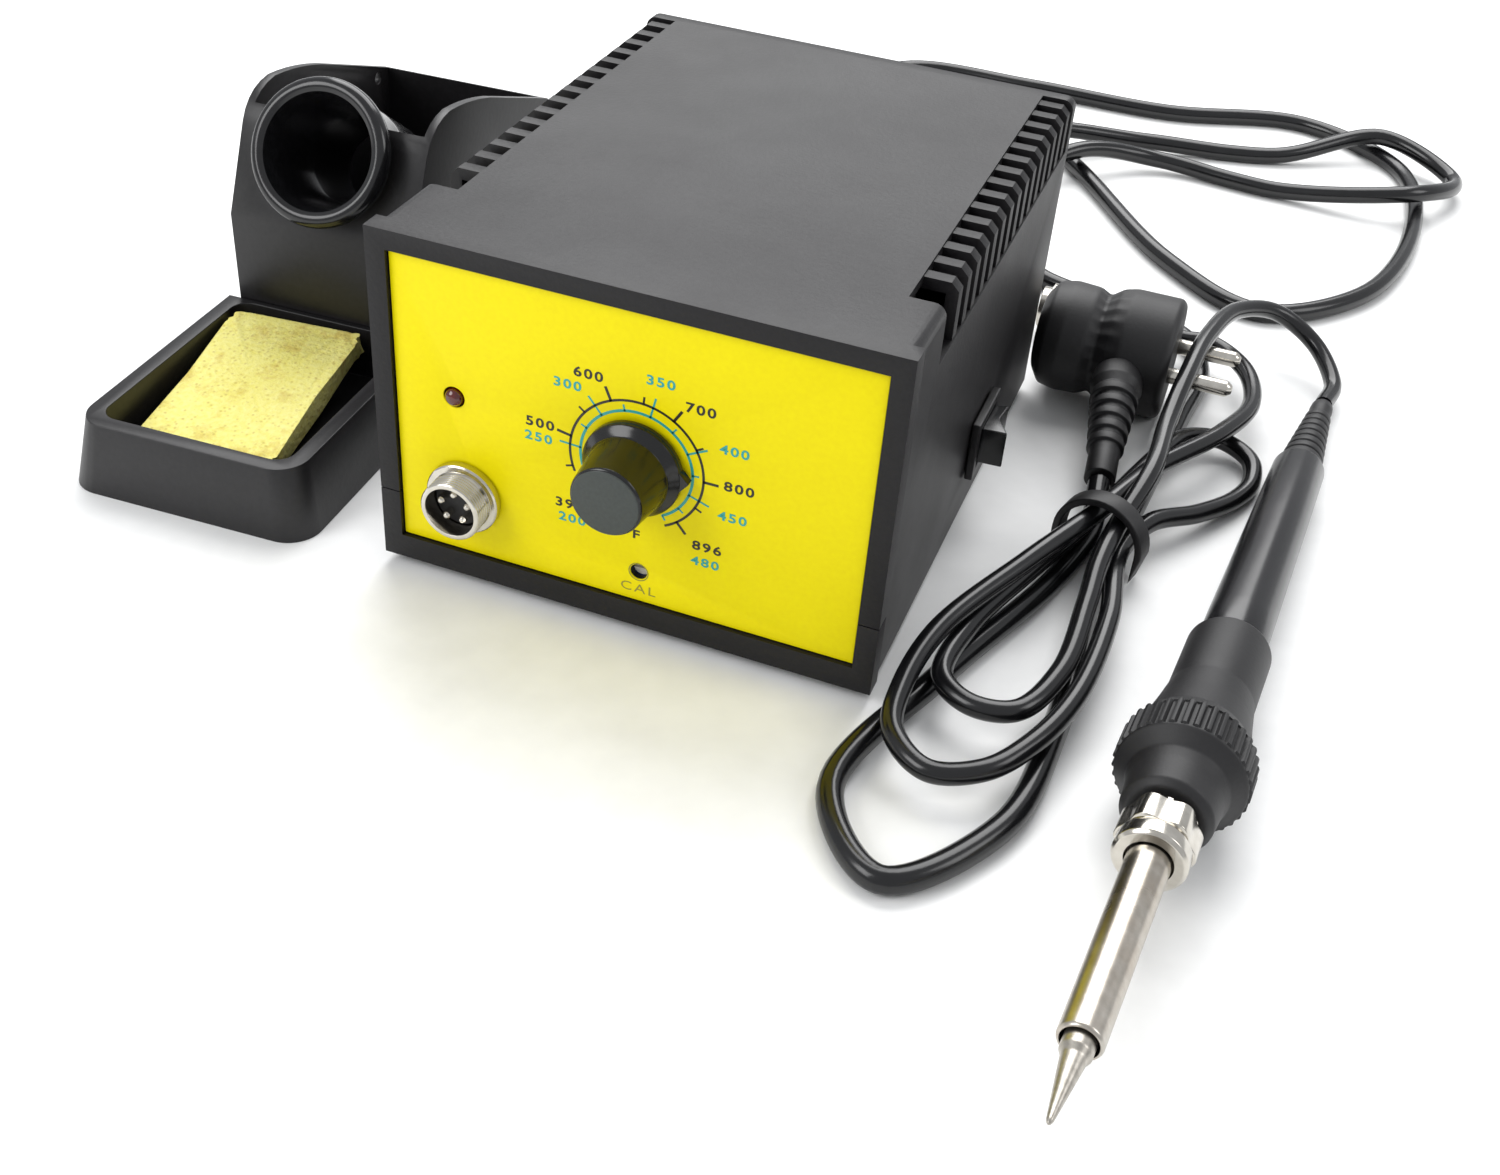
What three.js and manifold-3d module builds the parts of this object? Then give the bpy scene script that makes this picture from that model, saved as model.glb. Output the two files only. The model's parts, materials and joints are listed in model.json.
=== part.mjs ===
// Soldering iron station: temperature controlled base unit, iron stand with sponge, and iron with its cord.
// Millimetres, +Z up. Inside the layout the front face of the base unit is y = 0, its middle is x = 0 and
// the bench is z = 0. The whole layout is shifted at the end, so that the origin is the bottom centre.
import * as THREE from 'three';
import { mergeVertices } from 'three/addons/utils/BufferGeometryUtils.js';
import Module from 'manifold-3d';

const wasm = await Module();
wasm.setup();

// ---------------------------------------------------------------- driving dimensions
const GAP = 0.3;                  // clearance between pieces that touch or sit in each other
const BENCH_GAP = 0.1;            // clearance between the leads and the bench

// base unit
const UNIT_WIDTH = 131;
const UNIT_DEPTH = 162;
const UNIT_HEIGHT = 92;           // without its feet
const SHELL_WALL = 2.5;
const FRAME_DEPTH = 6;            // the raised frame round the front panel
const FRAME_PROUD = 0.8;          // how far the frame stands out past the side walls
const FRAME_SIDE = 5.2;
const FRAME_TOP = 5.1;
const FRAME_BOTTOM = 6.7;
const SEAM_HEIGHT = 20;           // the tray's front lip ends and the cover's frame begins
const BAND_DEPTH = 26.3;          // full width part of the top, in front of the vents
const VENT_WIDTH = 9;             // how far the vent step reaches in from each side
const VENT_DROP = 15;
const VENT_END = 4;               // closed band at the rear end
const RIB_COUNT = 15;
const RIB_THICK = 3.6;
const RIB_DEPTH = 3;
const RIB_FIRST = 12;             // from the front end of the vents to the first rib
const FLOOR_THICK = 2.5;
const PANEL_THICK = 2;
const PANEL_RECESS = 1.2;
const FOOT_RADIUS = 6;
const FOOT_HEIGHT = 3;
const SCREW_RADIUS = 1.5;
const SCREW_INSET = 9.5;
const SCREW_LENGTH = 16;

// front panel fittings, x from the middle and z from the bench
const SOCKET_X = -42.2;
const SOCKET_Z = 27;
const SOCKET_RADIUS = 8;
const SOCKET_OUT = 8.5;
const PIN_RADIUS = 1;
const PIN_CIRCLE = 3.7;
const PIN_COUNT = 5;
const DIAL_X = 2.8;
const DIAL_Z = 49.6;
const KNOB_RADIUS = 10.2;
const KNOB_SKIRT = 12.4;
const KNOB_POINTER = 14.4;
const KNOB_HEIGHT = 17.3;
const KNOB_TURN = 2;              // where the pointer rests: degrees above the right-hand horizontal
const SHAFT_RADIUS = 3;
const LED_X = -44.5;
const LED_Z = 54.5;
const LED_RADIUS = 2.5;
const TRIM_X = 4.4;
const TRIM_Z = 18.7;
const TRIM_RADIUS = 2.2;

// power switch in the right wall
const SWITCH_Y = 92;
const SWITCH_Z = 24.2;
const SWITCH_LENGTH = 22;
const SWITCH_HEIGHT = 17.5;
const ROCKER_TILT = 12;           // rests switched off: the front end stands out

// inside
const CORE_WIDTH = 66;
const CORE_DEPTH = 40;
const CORE_HEIGHT = 56;
const COIL_DEPTH = 62;
const CORE_Y = 118;
const BOARD_WIDTH = 104;
const BOARD_DEPTH = 58;
const BOARD_THICK = 1.6;
const BOARD_Y = 56;
const BOARD_Z = 13;

// mains lead
const MAINS_RADIUS = 3.2;
const MAINS_STEPS = 110;
const LAID_HALF_WIDTH = 65.5;      // the half width of the unit beside which the leads below are laid
const BESIDE_X = UNIT_WIDTH / 2 - LAID_HALF_WIDTH;
const GLAND_X = BESIDE_X - 30;
const GLAND_Z = 24;
const GLAND_LENGTH = 28;
const PLUG_RADIUS = 18.5;
const PLUG_FACE_X = 107;
const PLUG_Y = 167.5;
const PLUG_DEPTH = 41;
const PLUG_PIN_RADIUS = 2.4;
const PLUG_PIN_LENGTH = 19;
const PLUG_PIN_PITCH = 19;

// iron stand
const STAND_X = -122.3;
const STAND_Y = -7.3;
const STAND_TURN = 2.7;
const BASE_WIDTH = 72;
const BASE_LENGTH = 178;
const BASE_HEIGHT = 20;
const BASE_TAPER = 3.6;
const BASE_CORNER = 9;
const TRAY_RIM = 4.6;
const TRAY_LENGTH = 79;
const TRAY_FLOOR = 4;
const REAR_PLATE = 6;
const HOLDER_WIDTH = BASE_WIDTH - 14.4;
const HOLDER_WALL = 2.4;
const COLLAR_RADIUS = 20.9;
const COLLAR_BODY = 16.6;
const COLLAR_LENGTH = 44;
const COLLAR_TILT = 29;
const COLLAR_Y = 80.2;
const COLLAR_Z = 71.2;
const SPONGE_SIDE = -4;            // it lies nearer the left wall of the tray
const SPONGE_WIDTH = BASE_WIDTH - 32;
const SPONGE_LENGTH = 60;
const SPONGE_THICK = 6;
const SPONGE_LEAN = 8;             // its rear end leans on the tray's rear rim
const SPONGE_TURN = 4;
const SPONGE_LIFT = 8.6;           // its middle above the tray's floor

// iron: places along its axis are measured from the flange, back to the cord
const FLANGE_X = 139.3;
const FLANGE_Y = -5.3;
const IRON_TURN = -4.14;
const FLANGE_RADIUS = 15.3;
const HANDLE_END_RADIUS = 7.3;
const HANDLE_FRONT_RADIUS = 8.2;
const HANDLE_END = 147;
const GRIP_END = 47;
const GRIP_RADIUS = 10.2;
const NUT_RADIUS = 8.1;
const PIPE_RADIUS = 4.6;
const PIPE_END = 88.7;
const TIP_RADIUS = 3.2;
const TIP_END = 108.5;
const HEATER_RADIUS = 1.8;
const RELIEF_END = 190;
const IRON_CORD_RADIUS = 2.7;
const TIE_X = 104;
const TIE_Y = 80;
const TIE_TURN = -14;
const TIE_INNER = 10.9;
const TIE_WALL = 2;
const TIE_WIDTH = 6;
const TIE_CENTRE_Z = 9.2;
const CONNECTOR_X = 100;            // where the cord enters the connector, which lies behind the plug
const CONNECTOR_Y = 201;
const CONNECTOR_RADIUS = 8.7;
const IRON_CORD_STEPS = 90;

// ---------------------------------------------------------------- derived places
const FLOOR_Z = FOOT_HEIGHT;
const TOP_Z = FOOT_HEIGHT + UNIT_HEIGHT;
const SEAM_Z = FLOOR_Z + SEAM_HEIGHT;
const SIDE_X = UNIT_WIDTH / 2 - FRAME_PROUD;
const INNER_X = SIDE_X - SHELL_WALL;
const WINDOW_X = UNIT_WIDTH / 2 - FRAME_SIDE;
const WINDOW_LOW = FLOOR_Z + FRAME_BOTTOM;
const WINDOW_HIGH = TOP_Z - FRAME_TOP;
const PANEL_BACK = PANEL_RECESS + PANEL_THICK;
const POCKET_BACK = PANEL_BACK + GAP;
const VENT_X = SIDE_X - VENT_WIDTH;
const VENT_Z = TOP_Z - VENT_DROP;

// ---------------------------------------------------------------- mesh helpers
// One closed mesh: shared vertices merged, slivers dropped, faces pointing out.
function closed(geometry) {
  const bare = new THREE.BufferGeometry();
  bare.setAttribute('position', geometry.getAttribute('position').clone());
  if (geometry.index) bare.setIndex(geometry.index.clone());
  const merged = mergeVertices(bare, 1e-4);
  const p = merged.getAttribute('position');
  const kept = [];
  let volume = 0;
  const [a, b, c] = [new THREE.Vector3(), new THREE.Vector3(), new THREE.Vector3()];
  for (let i = 0; i < merged.index.count; i += 3) {
    const [ia, ib, ic] = [0, 1, 2].map((k) => merged.index.getX(i + k));
    if (ia === ib || ib === ic || ia === ic) continue;
    kept.push(ia, ib, ic);
    a.fromBufferAttribute(p, ia);
    b.fromBufferAttribute(p, ib);
    c.fromBufferAttribute(p, ic);
    volume += a.dot(b.cross(c));
  }
  if (volume < 0) kept.reverse();
  merged.setIndex(kept);
  return merged;
}

function solid(geometry) {
  const g = closed(geometry);
  return new wasm.Manifold(new wasm.Mesh({
    numProp: 3,
    vertProperties: new Float32Array(g.getAttribute('position').array),
    triVerts: new Uint32Array(g.index.array),
  }));
}

function surface(manifold) {
  const mesh = manifold.getMesh();
  const g = new THREE.BufferGeometry();
  g.setAttribute('position', new THREE.BufferAttribute(new Float32Array(mesh.vertProperties), 3));
  g.setIndex(new THREE.BufferAttribute(new Uint32Array(mesh.triVerts), 1));
  return g;
}

const join = (...pieces) => surface(pieces.map(solid).reduce((sum, piece) => sum.add(piece)));
const cut = (body, ...tools) => surface(tools.map(solid).reduce((rest, tool) => rest.subtract(tool),
    solid(body)));

function box(x0, x1, y0, y1, z0, z1) {
  return new THREE.BoxGeometry(x1 - x0, y1 - y0, z1 - z0)
    .translate((x0 + x1) / 2, (y0 + y1) / 2, (z0 + z1) / 2);
}

// A solid turned about +Z from [radius, height] pairs that start and end on the axis or close on themselves.
function turned(profile, sides = 24) {
  const points = profile.map(([radius, height]) => new THREE.Vector2(radius, height));
  return new THREE.LatheGeometry(points, sides).rotateX(Math.PI / 2);
}

const rod = (radius, z0, z1, sides = 20) => turned([[0, z0], [radius, z0], [radius, z1], [0, z1]], sides);

const ring = (inner, outer, z0, z1, sides = 24) =>
  turned([[inner, z0], [outer, z0], [outer, z1], [inner, z1], [inner, z0]], sides);

// An outline in x and z carried along y, and an outline in y and z carried along x.
function alongY(shape, y0, y1, curveSegments = 6) {
  return new THREE.ExtrudeGeometry(shape, { depth: y1 - y0, bevelEnabled: false, curveSegments })
    .rotateX(Math.PI / 2).translate(0, y1, 0);
}

function alongX(shape, x0, x1, curveSegments = 6) {
  return new THREE.ExtrudeGeometry(shape, { depth: x1 - x0, bevelEnabled: false, curveSegments })
    .rotateY(Math.PI / 2).rotateX(Math.PI / 2).translate(x0, 0, 0);
}

function outline(points) {
  return new THREE.Shape(points.map(([u, v]) => new THREE.Vector2(u, v)));
}

// A rectangle with round corners; its middle is (cx, cy).
function roundedRect(width, height, radius, cx = 0, cy = 0) {
  const [x0, x1] = [cx - width / 2, cx + width / 2];
  const [y0, y1] = [cy - height / 2, cy + height / 2];
  const shape = new THREE.Shape();
  shape.moveTo(x0 + radius, y0);
  shape.lineTo(x1 - radius, y0);
  shape.absarc(x1 - radius, y0 + radius, radius, -Math.PI / 2, 0);
  shape.lineTo(x1, y1 - radius);
  shape.absarc(x1 - radius, y1 - radius, radius, 0, Math.PI / 2);
  shape.lineTo(x0 + radius, y1);
  shape.absarc(x0 + radius, y1 - radius, radius, Math.PI / 2, Math.PI);
  shape.lineTo(x0, y0 + radius);
  shape.absarc(x0 + radius, y0 + radius, radius, Math.PI, Math.PI * 1.5);
  return shape;
}

// A round cord along hand-chosen points; it lies on the bench and never dips into it.
function cord(points, radius, sides, steps) {
  const chosen = new THREE.CatmullRomCurve3(points.map((p) => new THREE.Vector3(...p)),
      false, 'centripetal');
  const laid = chosen.getPoints(points.length * 6);
  laid.forEach((p) => p.setZ(Math.max(p.z, radius + BENCH_GAP)));
  const path = new THREE.CatmullRomCurve3(laid, false, 'centripetal');
  const section = new THREE.Shape();
  for (let i = 0; i < sides; i += 1) {
    const angle = (2 * Math.PI * i) / sides;
    const [u, v] = [radius * Math.cos(angle), radius * Math.sin(angle)];
    if (i === 0) section.moveTo(u, v);
    else section.lineTo(u, v);
  }
  return new THREE.ExtrudeGeometry(section, { steps, extrudePath: path, bevelEnabled: false });
}

// ---------------------------------------------------------------- finishes
const FINISH = {
  housing: { color: 0x2b2b2d, roughness: 0.55, metalness: 0 },
  panel: { color: 0xf2e512, roughness: 0.35, metalness: 0 },
  rubber: { color: 0x1c1c1e, roughness: 0.75, metalness: 0 },
  nickel: { color: 0xc9c5bc, roughness: 0.25, metalness: 1 },
  steel: { color: 0xb4b2ae, roughness: 0.35, metalness: 1 },
  brass: { color: 0xcaa552, roughness: 0.3, metalness: 1 },
  copper: { color: 0xb4552a, roughness: 0.4, metalness: 1 },
  lens: { color: 0x7a1410, roughness: 0.15, metalness: 0 },
  board: { color: 0x1f6b3a, roughness: 0.5, metalness: 0 },
  ceramic: { color: 0xe8e4da, roughness: 0.6, metalness: 0 },
  sponge: { color: 0xeae275, roughness: 0.95, metalness: 0 },
  gloss: { color: 0x141416, roughness: 0.18, metalness: 0 },
};

function part(name, geometry, finish, parent) {
  const mesh = new THREE.Mesh(closed(geometry), new THREE.MeshStandardMaterial(FINISH[finish]));
  mesh.name = name;
  parent.add(mesh);
  return mesh;
}

// ---------------------------------------------------------------- base unit: housing
const layout = new THREE.Group();
const beside = new THREE.Group();     // the leads and the iron, on the unit's right
beside.position.x = BESIDE_X;
layout.add(beside);
const cordPieces = [];
const screwPlaces = [-1, 1].flatMap((side) => [SCREW_INSET + FRAME_DEPTH, UNIT_DEPTH - SCREW_INSET - 8]
  .map((y) => [side * (INNER_X - SCREW_INSET / 2), y]));

function baseTray() {
  const edge = INNER_X - GAP;
  const lipTop = SEAM_Z - GAP / 2;
  const rail = (side) => box(...(side < 0 ? [-edge, -edge + 2] : [edge - 2, edge]),
    screwPlaces[0][1] + 9, screwPlaces[1][1] - 9, FLOOR_Z, FLOOR_Z + 14);
  const body = join(
    box(-edge, edge, FRAME_DEPTH / 2, UNIT_DEPTH - 1, FLOOR_Z, FLOOR_Z + FLOOR_THICK),
    box(-UNIT_WIDTH / 2, UNIT_WIDTH / 2, 0, FRAME_DEPTH - GAP, FLOOR_Z, lipTop),
    rail(-1),
    rail(1),
  );
  const holes = screwPlaces.map(([x, y]) => rod(SCREW_RADIUS + GAP, 0, 20, 12).translate(x, y, 0));
  const pocket = box(-WINDOW_X, WINDOW_X, -1, POCKET_BACK, WINDOW_LOW, TOP_Z);
  const opening = box(-WINDOW_X + 3, WINDOW_X - 3, 0, FRAME_DEPTH + 1, WINDOW_LOW + 3, TOP_Z);
  part('base_tray', cut(body, pocket, opening, ...holes), 'housing', layout);
}

// The outline of the cover across the unit, with the top corners rounded; inset makes the inner one.
function coverOutline(inset, low) {
  const x = SIDE_X - inset;
  const top = TOP_Z - inset;
  const radius = Math.max(3 - inset, 0.6);
  const shape = new THREE.Shape();
  shape.moveTo(-x, low);
  shape.lineTo(x, low);
  shape.lineTo(x, top - radius);
  shape.absarc(x - radius, top - radius, radius, 0, Math.PI / 2);
  shape.lineTo(-x + radius, top);
  shape.absarc(-x + radius, top - radius, radius, Math.PI / 2, Math.PI);
  return shape;
}

function ventRib(side, y) {
  const [x0, x1] = [VENT_X - 1.5, SIDE_X - 0.4];
  const [z0, z1] = [VENT_Z - 1, TOP_Z - 0.6];
  const bevel = 2;
  const shape = outline([
    [side * x0, z1], [side * (x1 - bevel), z1], [side * x1, z1 - bevel], [side * x1, z0],
    [side * (x1 - RIB_DEPTH), z0], [side * (x1 - RIB_DEPTH), z1 - RIB_DEPTH], [side * x0, z1 - RIB_DEPTH],
  ]);
  return alongY(shape, y, y + RIB_THICK);
}

function topCover() {
  const shell = cut(
    alongY(coverOutline(0, FLOOR_Z), FRAME_DEPTH, UNIT_DEPTH),
    alongY(coverOutline(SHELL_WALL, -10), FRAME_DEPTH - 2, UNIT_DEPTH + 1),
  );
  const frameLow = SEAM_Z + GAP / 2;
  const frame = join(
    box(-UNIT_WIDTH / 2, UNIT_WIDTH / 2, 0, FRAME_DEPTH, frameLow, TOP_Z),
    box(-SIDE_X + 0.1, SIDE_X - 0.1, 1, FRAME_DEPTH + 1, frameLow, TOP_Z - 3),
  );
  const posts = screwPlaces.map(([x, y]) => {
    const web = x < 0 ? box(-INNER_X - 1, x, y - 1.5, y + 1.5, 0, 30) : box(x, INNER_X + 1, y - 1.5,
        y + 1.5, 0, 30);
    return join(rod(4.2, 0, 30, 16).translate(x, y, 0), web).translate(0, 0, FLOOR_Z + FLOOR_THICK + GAP);
  });
  const body = join(shell, frame, ...posts);
  const ventEnd = UNIT_DEPTH - VENT_END;
  const vents = [-1, 1].map((side) => (side < 0
    ? box(-UNIT_WIDTH, -VENT_X, BAND_DEPTH, ventEnd, VENT_Z, TOP_Z + 1)
    : box(VENT_X, UNIT_WIDTH, BAND_DEPTH, ventEnd, VENT_Z, TOP_Z + 1)));
  const screwHoles = screwPlaces.map(([x, y]) => rod(SCREW_RADIUS + GAP, 0, SCREW_LENGTH + 6,
      12).translate(x, y, 0));
  const switchHole = box(INNER_X - 2, SIDE_X + 2, SWITCH_Y - SWITCH_LENGTH / 2 + 1.5,
    SWITCH_Y + SWITCH_LENGTH / 2 - 1.5, SWITCH_Z - SWITCH_HEIGHT / 2 + 1.5,
        SWITCH_Z + SWITCH_HEIGHT / 2 - 1.5);
  const cutBody = cut(body, ...vents,
    box(-WINDOW_X, WINDOW_X, -1, POCKET_BACK, 0, WINDOW_HIGH),
    box(-WINDOW_X + 3, WINDOW_X - 3, 0, FRAME_DEPTH + 2, 0, WINDOW_HIGH - 3),
    switchHole, ...screwHoles);
  const pitch = (ventEnd - BAND_DEPTH - RIB_FIRST - RIB_THICK - 2) / (RIB_COUNT - 1);
  const ribs = [-1, 1].flatMap((side) => Array.from({ length: RIB_COUNT },
    (_, i) => ventRib(side, BAND_DEPTH + RIB_FIRST + i * pitch)));
  part('top_cover', join(cutBody, ...ribs), 'housing', layout);
}

function panels() {
  const [low, high] = [WINDOW_LOW + GAP, WINDOW_HIGH - GAP];
  const plate = box(-WINDOW_X + GAP, WINDOW_X - GAP, PANEL_RECESS, PANEL_BACK, low, high);
  const hole = (radius, x, z) => rod(radius, -10, 20, 28).rotateX(-Math.PI / 2).translate(x, 0, z);
  part('front_panel', cut(plate, hole(SOCKET_RADIUS + GAP, SOCKET_X, SOCKET_Z),
      hole(SHAFT_RADIUS + 1.3, DIAL_X, DIAL_Z),
    hole(LED_RADIUS + GAP, LED_X, LED_Z), hole(TRIM_RADIUS, TRIM_X, TRIM_Z)), 'panel', layout);
  const back = box(-INNER_X + GAP, INNER_X - GAP, UNIT_DEPTH - 4, UNIT_DEPTH - 1.5,
    FLOOR_Z + FLOOR_THICK + GAP, TOP_Z - SHELL_WALL - GAP);
  const glandHole = rod(7 + GAP, -20, 20, 24).rotateX(Math.PI / 2).translate(GLAND_X, UNIT_DEPTH, GLAND_Z);
  part('rear_panel', cut(back, glandHole), 'housing', layout);
}

function feetAndScrews() {
  screwPlaces.forEach(([x, y], i) => {
    const foot = turned([[SCREW_RADIUS + 1.9, 0], [FOOT_RADIUS - 0.6, 0], [FOOT_RADIUS, 0.6],
        [FOOT_RADIUS, FLOOR_Z - GAP],
      [SCREW_RADIUS + 1.9, FLOOR_Z - GAP], [SCREW_RADIUS + 1.9, 0]], 16);
    part(`foot_${i + 1}`, foot.translate(x, y, 0), 'rubber', layout);
    const head = SCREW_RADIUS + 1.5;
    const screw = turned([[0, 0.9], [head, 0.9], [head, FLOOR_Z - GAP], [SCREW_RADIUS, FLOOR_Z - GAP],
      [SCREW_RADIUS, SCREW_LENGTH], [0, SCREW_LENGTH + 1]], 10);
    part(`case_screw_${i + 1}`, screw.translate(x, y, 0), 'steel', layout);
  });
}

// ---------------------------------------------------------------- base unit: front panel fittings
// Each fitting is turned about +Z and then laid along the unit's depth: height 0 is the panel's front face.
function onPanel(geometry, x, z) {
  return geometry.rotateX(-Math.PI / 2).translate(x, PANEL_RECESS, z);
}

function ironSocket() {
  const bore = SOCKET_RADIUS - 1.4;
  const flange = SOCKET_RADIUS + 1.7;
  const shell = turned([
    [bore, -SOCKET_OUT], [SOCKET_RADIUS - 0.4, -SOCKET_OUT], [SOCKET_RADIUS, -SOCKET_OUT + 0.5],
    [SOCKET_RADIUS, -2.6],
    [flange - 0.4, -2.6], [flange, -2.2], [flange, -GAP], [SOCKET_RADIUS, -GAP], [SOCKET_RADIUS, 12],
    [bore, 12], [bore, -SOCKET_OUT],
  ], 28);
  part('socket_shell', onPanel(shell, SOCKET_X, SOCKET_Z), 'nickel', layout);
  const pinPlace = (i) => {
    const angle = Math.PI / 2 + ((i + 0.5) * 2 * Math.PI) / PIN_COUNT;
    return [PIN_CIRCLE * Math.cos(angle), PIN_CIRCLE * Math.sin(angle)];
  };
  const holes = Array.from({ length: PIN_COUNT }, (_, i) => {
    const [u, v] = pinPlace(i);
    return rod(PIN_RADIUS + GAP, -20, 30, 12).translate(u, v, 0);
  });
  const insert = cut(rod(bore - GAP, -3.5, 11, 28), ...holes, box(-1, 1, -bore, -bore + 1.5, -10, 20));
  part('socket_insert', onPanel(insert, SOCKET_X, SOCKET_Z), 'rubber', layout);
  for (let i = 0; i < PIN_COUNT; i += 1) {
    const [u, v] = pinPlace(i);
    const pin = turned([[0, -6.8], [PIN_RADIUS * 0.6, -6.6], [PIN_RADIUS, -6], [PIN_RADIUS, 14],
        [0, 14]], 10);
    part(`socket_pin_${i + 1}`, onPanel(pin.translate(u, v, 0), SOCKET_X, SOCKET_Z), 'brass', layout);
  }
  const nut = cut(rod(SOCKET_RADIUS + 3, PANEL_THICK + GAP, PANEL_THICK + 3.3, 6),
      rod(SOCKET_RADIUS + GAP, -5, 20, 28));
  part('socket_nut', onPanel(nut, SOCKET_X, SOCKET_Z), 'nickel', layout);
}

function dialFittings() {
  const front = -KNOB_HEIGHT;
  const shaftTop = front + 3;
  const flat = 0.8;
  const cap = turned([
    [0, front], [KNOB_RADIUS - 1.2, front], [KNOB_RADIUS - 0.6, front + 0.6], [KNOB_RADIUS, -5.2],
    [KNOB_SKIRT - 1.2, -4.2], [KNOB_SKIRT, -3.2], [KNOB_SKIRT, -0.9], [0, -0.9],
  ], 28);
  const root = KNOB_POINTER - 6.4;
  const arrow = outline([[root, -7.3], [KNOB_POINTER, 0], [root, 7.3]]);
  const pointer = new THREE.ExtrudeGeometry(arrow, { depth: 2.3, bevelEnabled: false })
    .translate(0, 0, -3.2);
  const shaftHole = cut(rod(SHAFT_RADIUS + GAP, shaftTop - GAP, 10, 20),
    box(-10, 10, SHAFT_RADIUS - flat + GAP, 10, -40, 40));
  const knob = cut(join(cap, pointer), shaftHole);
  knob.rotateZ(THREE.MathUtils.degToRad(-KNOB_TURN));
  part('temp_knob', onPanel(knob, DIAL_X, DIAL_Z), 'housing', layout);
  const shaft = cut(rod(SHAFT_RADIUS, shaftTop, PANEL_THICK + 6, 20),
      box(-10, 10, SHAFT_RADIUS - flat, 10, -40, -0.6));
  shaft.rotateZ(THREE.MathUtils.degToRad(-KNOB_TURN));
  part('knob_shaft', onPanel(shaft, DIAL_X, DIAL_Z), 'nickel', layout);
  const back = PANEL_THICK + GAP;
  const bush = SHAFT_RADIUS + 1;
  const pot = turned([
    [SHAFT_RADIUS + GAP, -0.4], [bush, -0.4], [bush, back], [8.2, back], [8.2, back + 9], [0, back + 9],
    [0, back + 6.5], [SHAFT_RADIUS + GAP, back + 6.5], [SHAFT_RADIUS + GAP, -0.4],
  ], 28);
  part('potentiometer', onPanel(pot, DIAL_X, DIAL_Z), 'steel', layout);
}

function smallFittings() {
  const lens = turned([[0, -1.6], [LED_RADIUS * 0.6, -1.3], [LED_RADIUS, 0], [LED_RADIUS, 5],
      [LED_RADIUS + 0.5, 5],
    [LED_RADIUS + 0.5, 6.2], [0, 6.2]], 20);
  part('led_lens', onPanel(lens, LED_X, LED_Z), 'lens', layout);
  const low = PANEL_THICK + 0.4;
  const trimmer = cut(box(-4.8, 4.8, -4.8, 4.8, low, low + 5),
      rod(TRIM_RADIUS + GAP, low - 1, low + 2, 20));
  part('cal_trimmer', onPanel(trimmer, TRIM_X, TRIM_Z), 'housing', layout);
  const rotor = cut(rod(TRIM_RADIUS, low - 0.1, low + 1.7, 20), box(-5, 5, -0.4, 0.4, low - 1, low + 0.7));
  part('cal_rotor', onPanel(rotor, TRIM_X, TRIM_Z), 'brass', layout);
}

// ---------------------------------------------------------------- base unit: power switch
// The rocker turns about an upright pin; its front end stands out while the unit is off.
function powerSwitch() {
  const face = SIDE_X + GAP;
  const length = SWITCH_LENGTH;
  const height = SWITCH_HEIGHT;
  const well = height - 6;
  const body = join(
    box(face, face + 2.2, SWITCH_Y - length / 2, SWITCH_Y + length / 2, SWITCH_Z - height / 2,
        SWITCH_Z + height / 2),
    box(face - 16, face + 0.5, SWITCH_Y - length / 2 + 1.5 + GAP, SWITCH_Y + length / 2 - 1.5 - GAP,
      SWITCH_Z - height / 2 + 1.5 + GAP, SWITCH_Z + height / 2 - 1.5 - GAP),
  );
  const mouth = box(face - 8, face + 5, SWITCH_Y - length / 2 + 3, SWITCH_Y + length / 2 - 3,
    SWITCH_Z - well / 2, SWITCH_Z + well / 2);
  part('switch_body', cut(body, mouth), 'housing', layout);
  const half = length / 2 - 3.8;
  const rocker = outline([[-half, 5.4], [0, 3.2], [half, 5.4], [half - 1.2, -3.6], [-half + 1.2, -3.6]]);
  const geometry = new THREE.ExtrudeGeometry(rocker, { depth: well - 2 * GAP, bevelEnabled: false })
    .translate(0, 0, -well / 2 + GAP)
    .rotateZ(-Math.PI / 2);
  const mesh = part('switch_rocker', geometry, 'gloss', layout);
  mesh.position.set(face + 2, SWITCH_Y, SWITCH_Z);
  mesh.rotation.z = THREE.MathUtils.degToRad(ROCKER_TILT);
}

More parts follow.
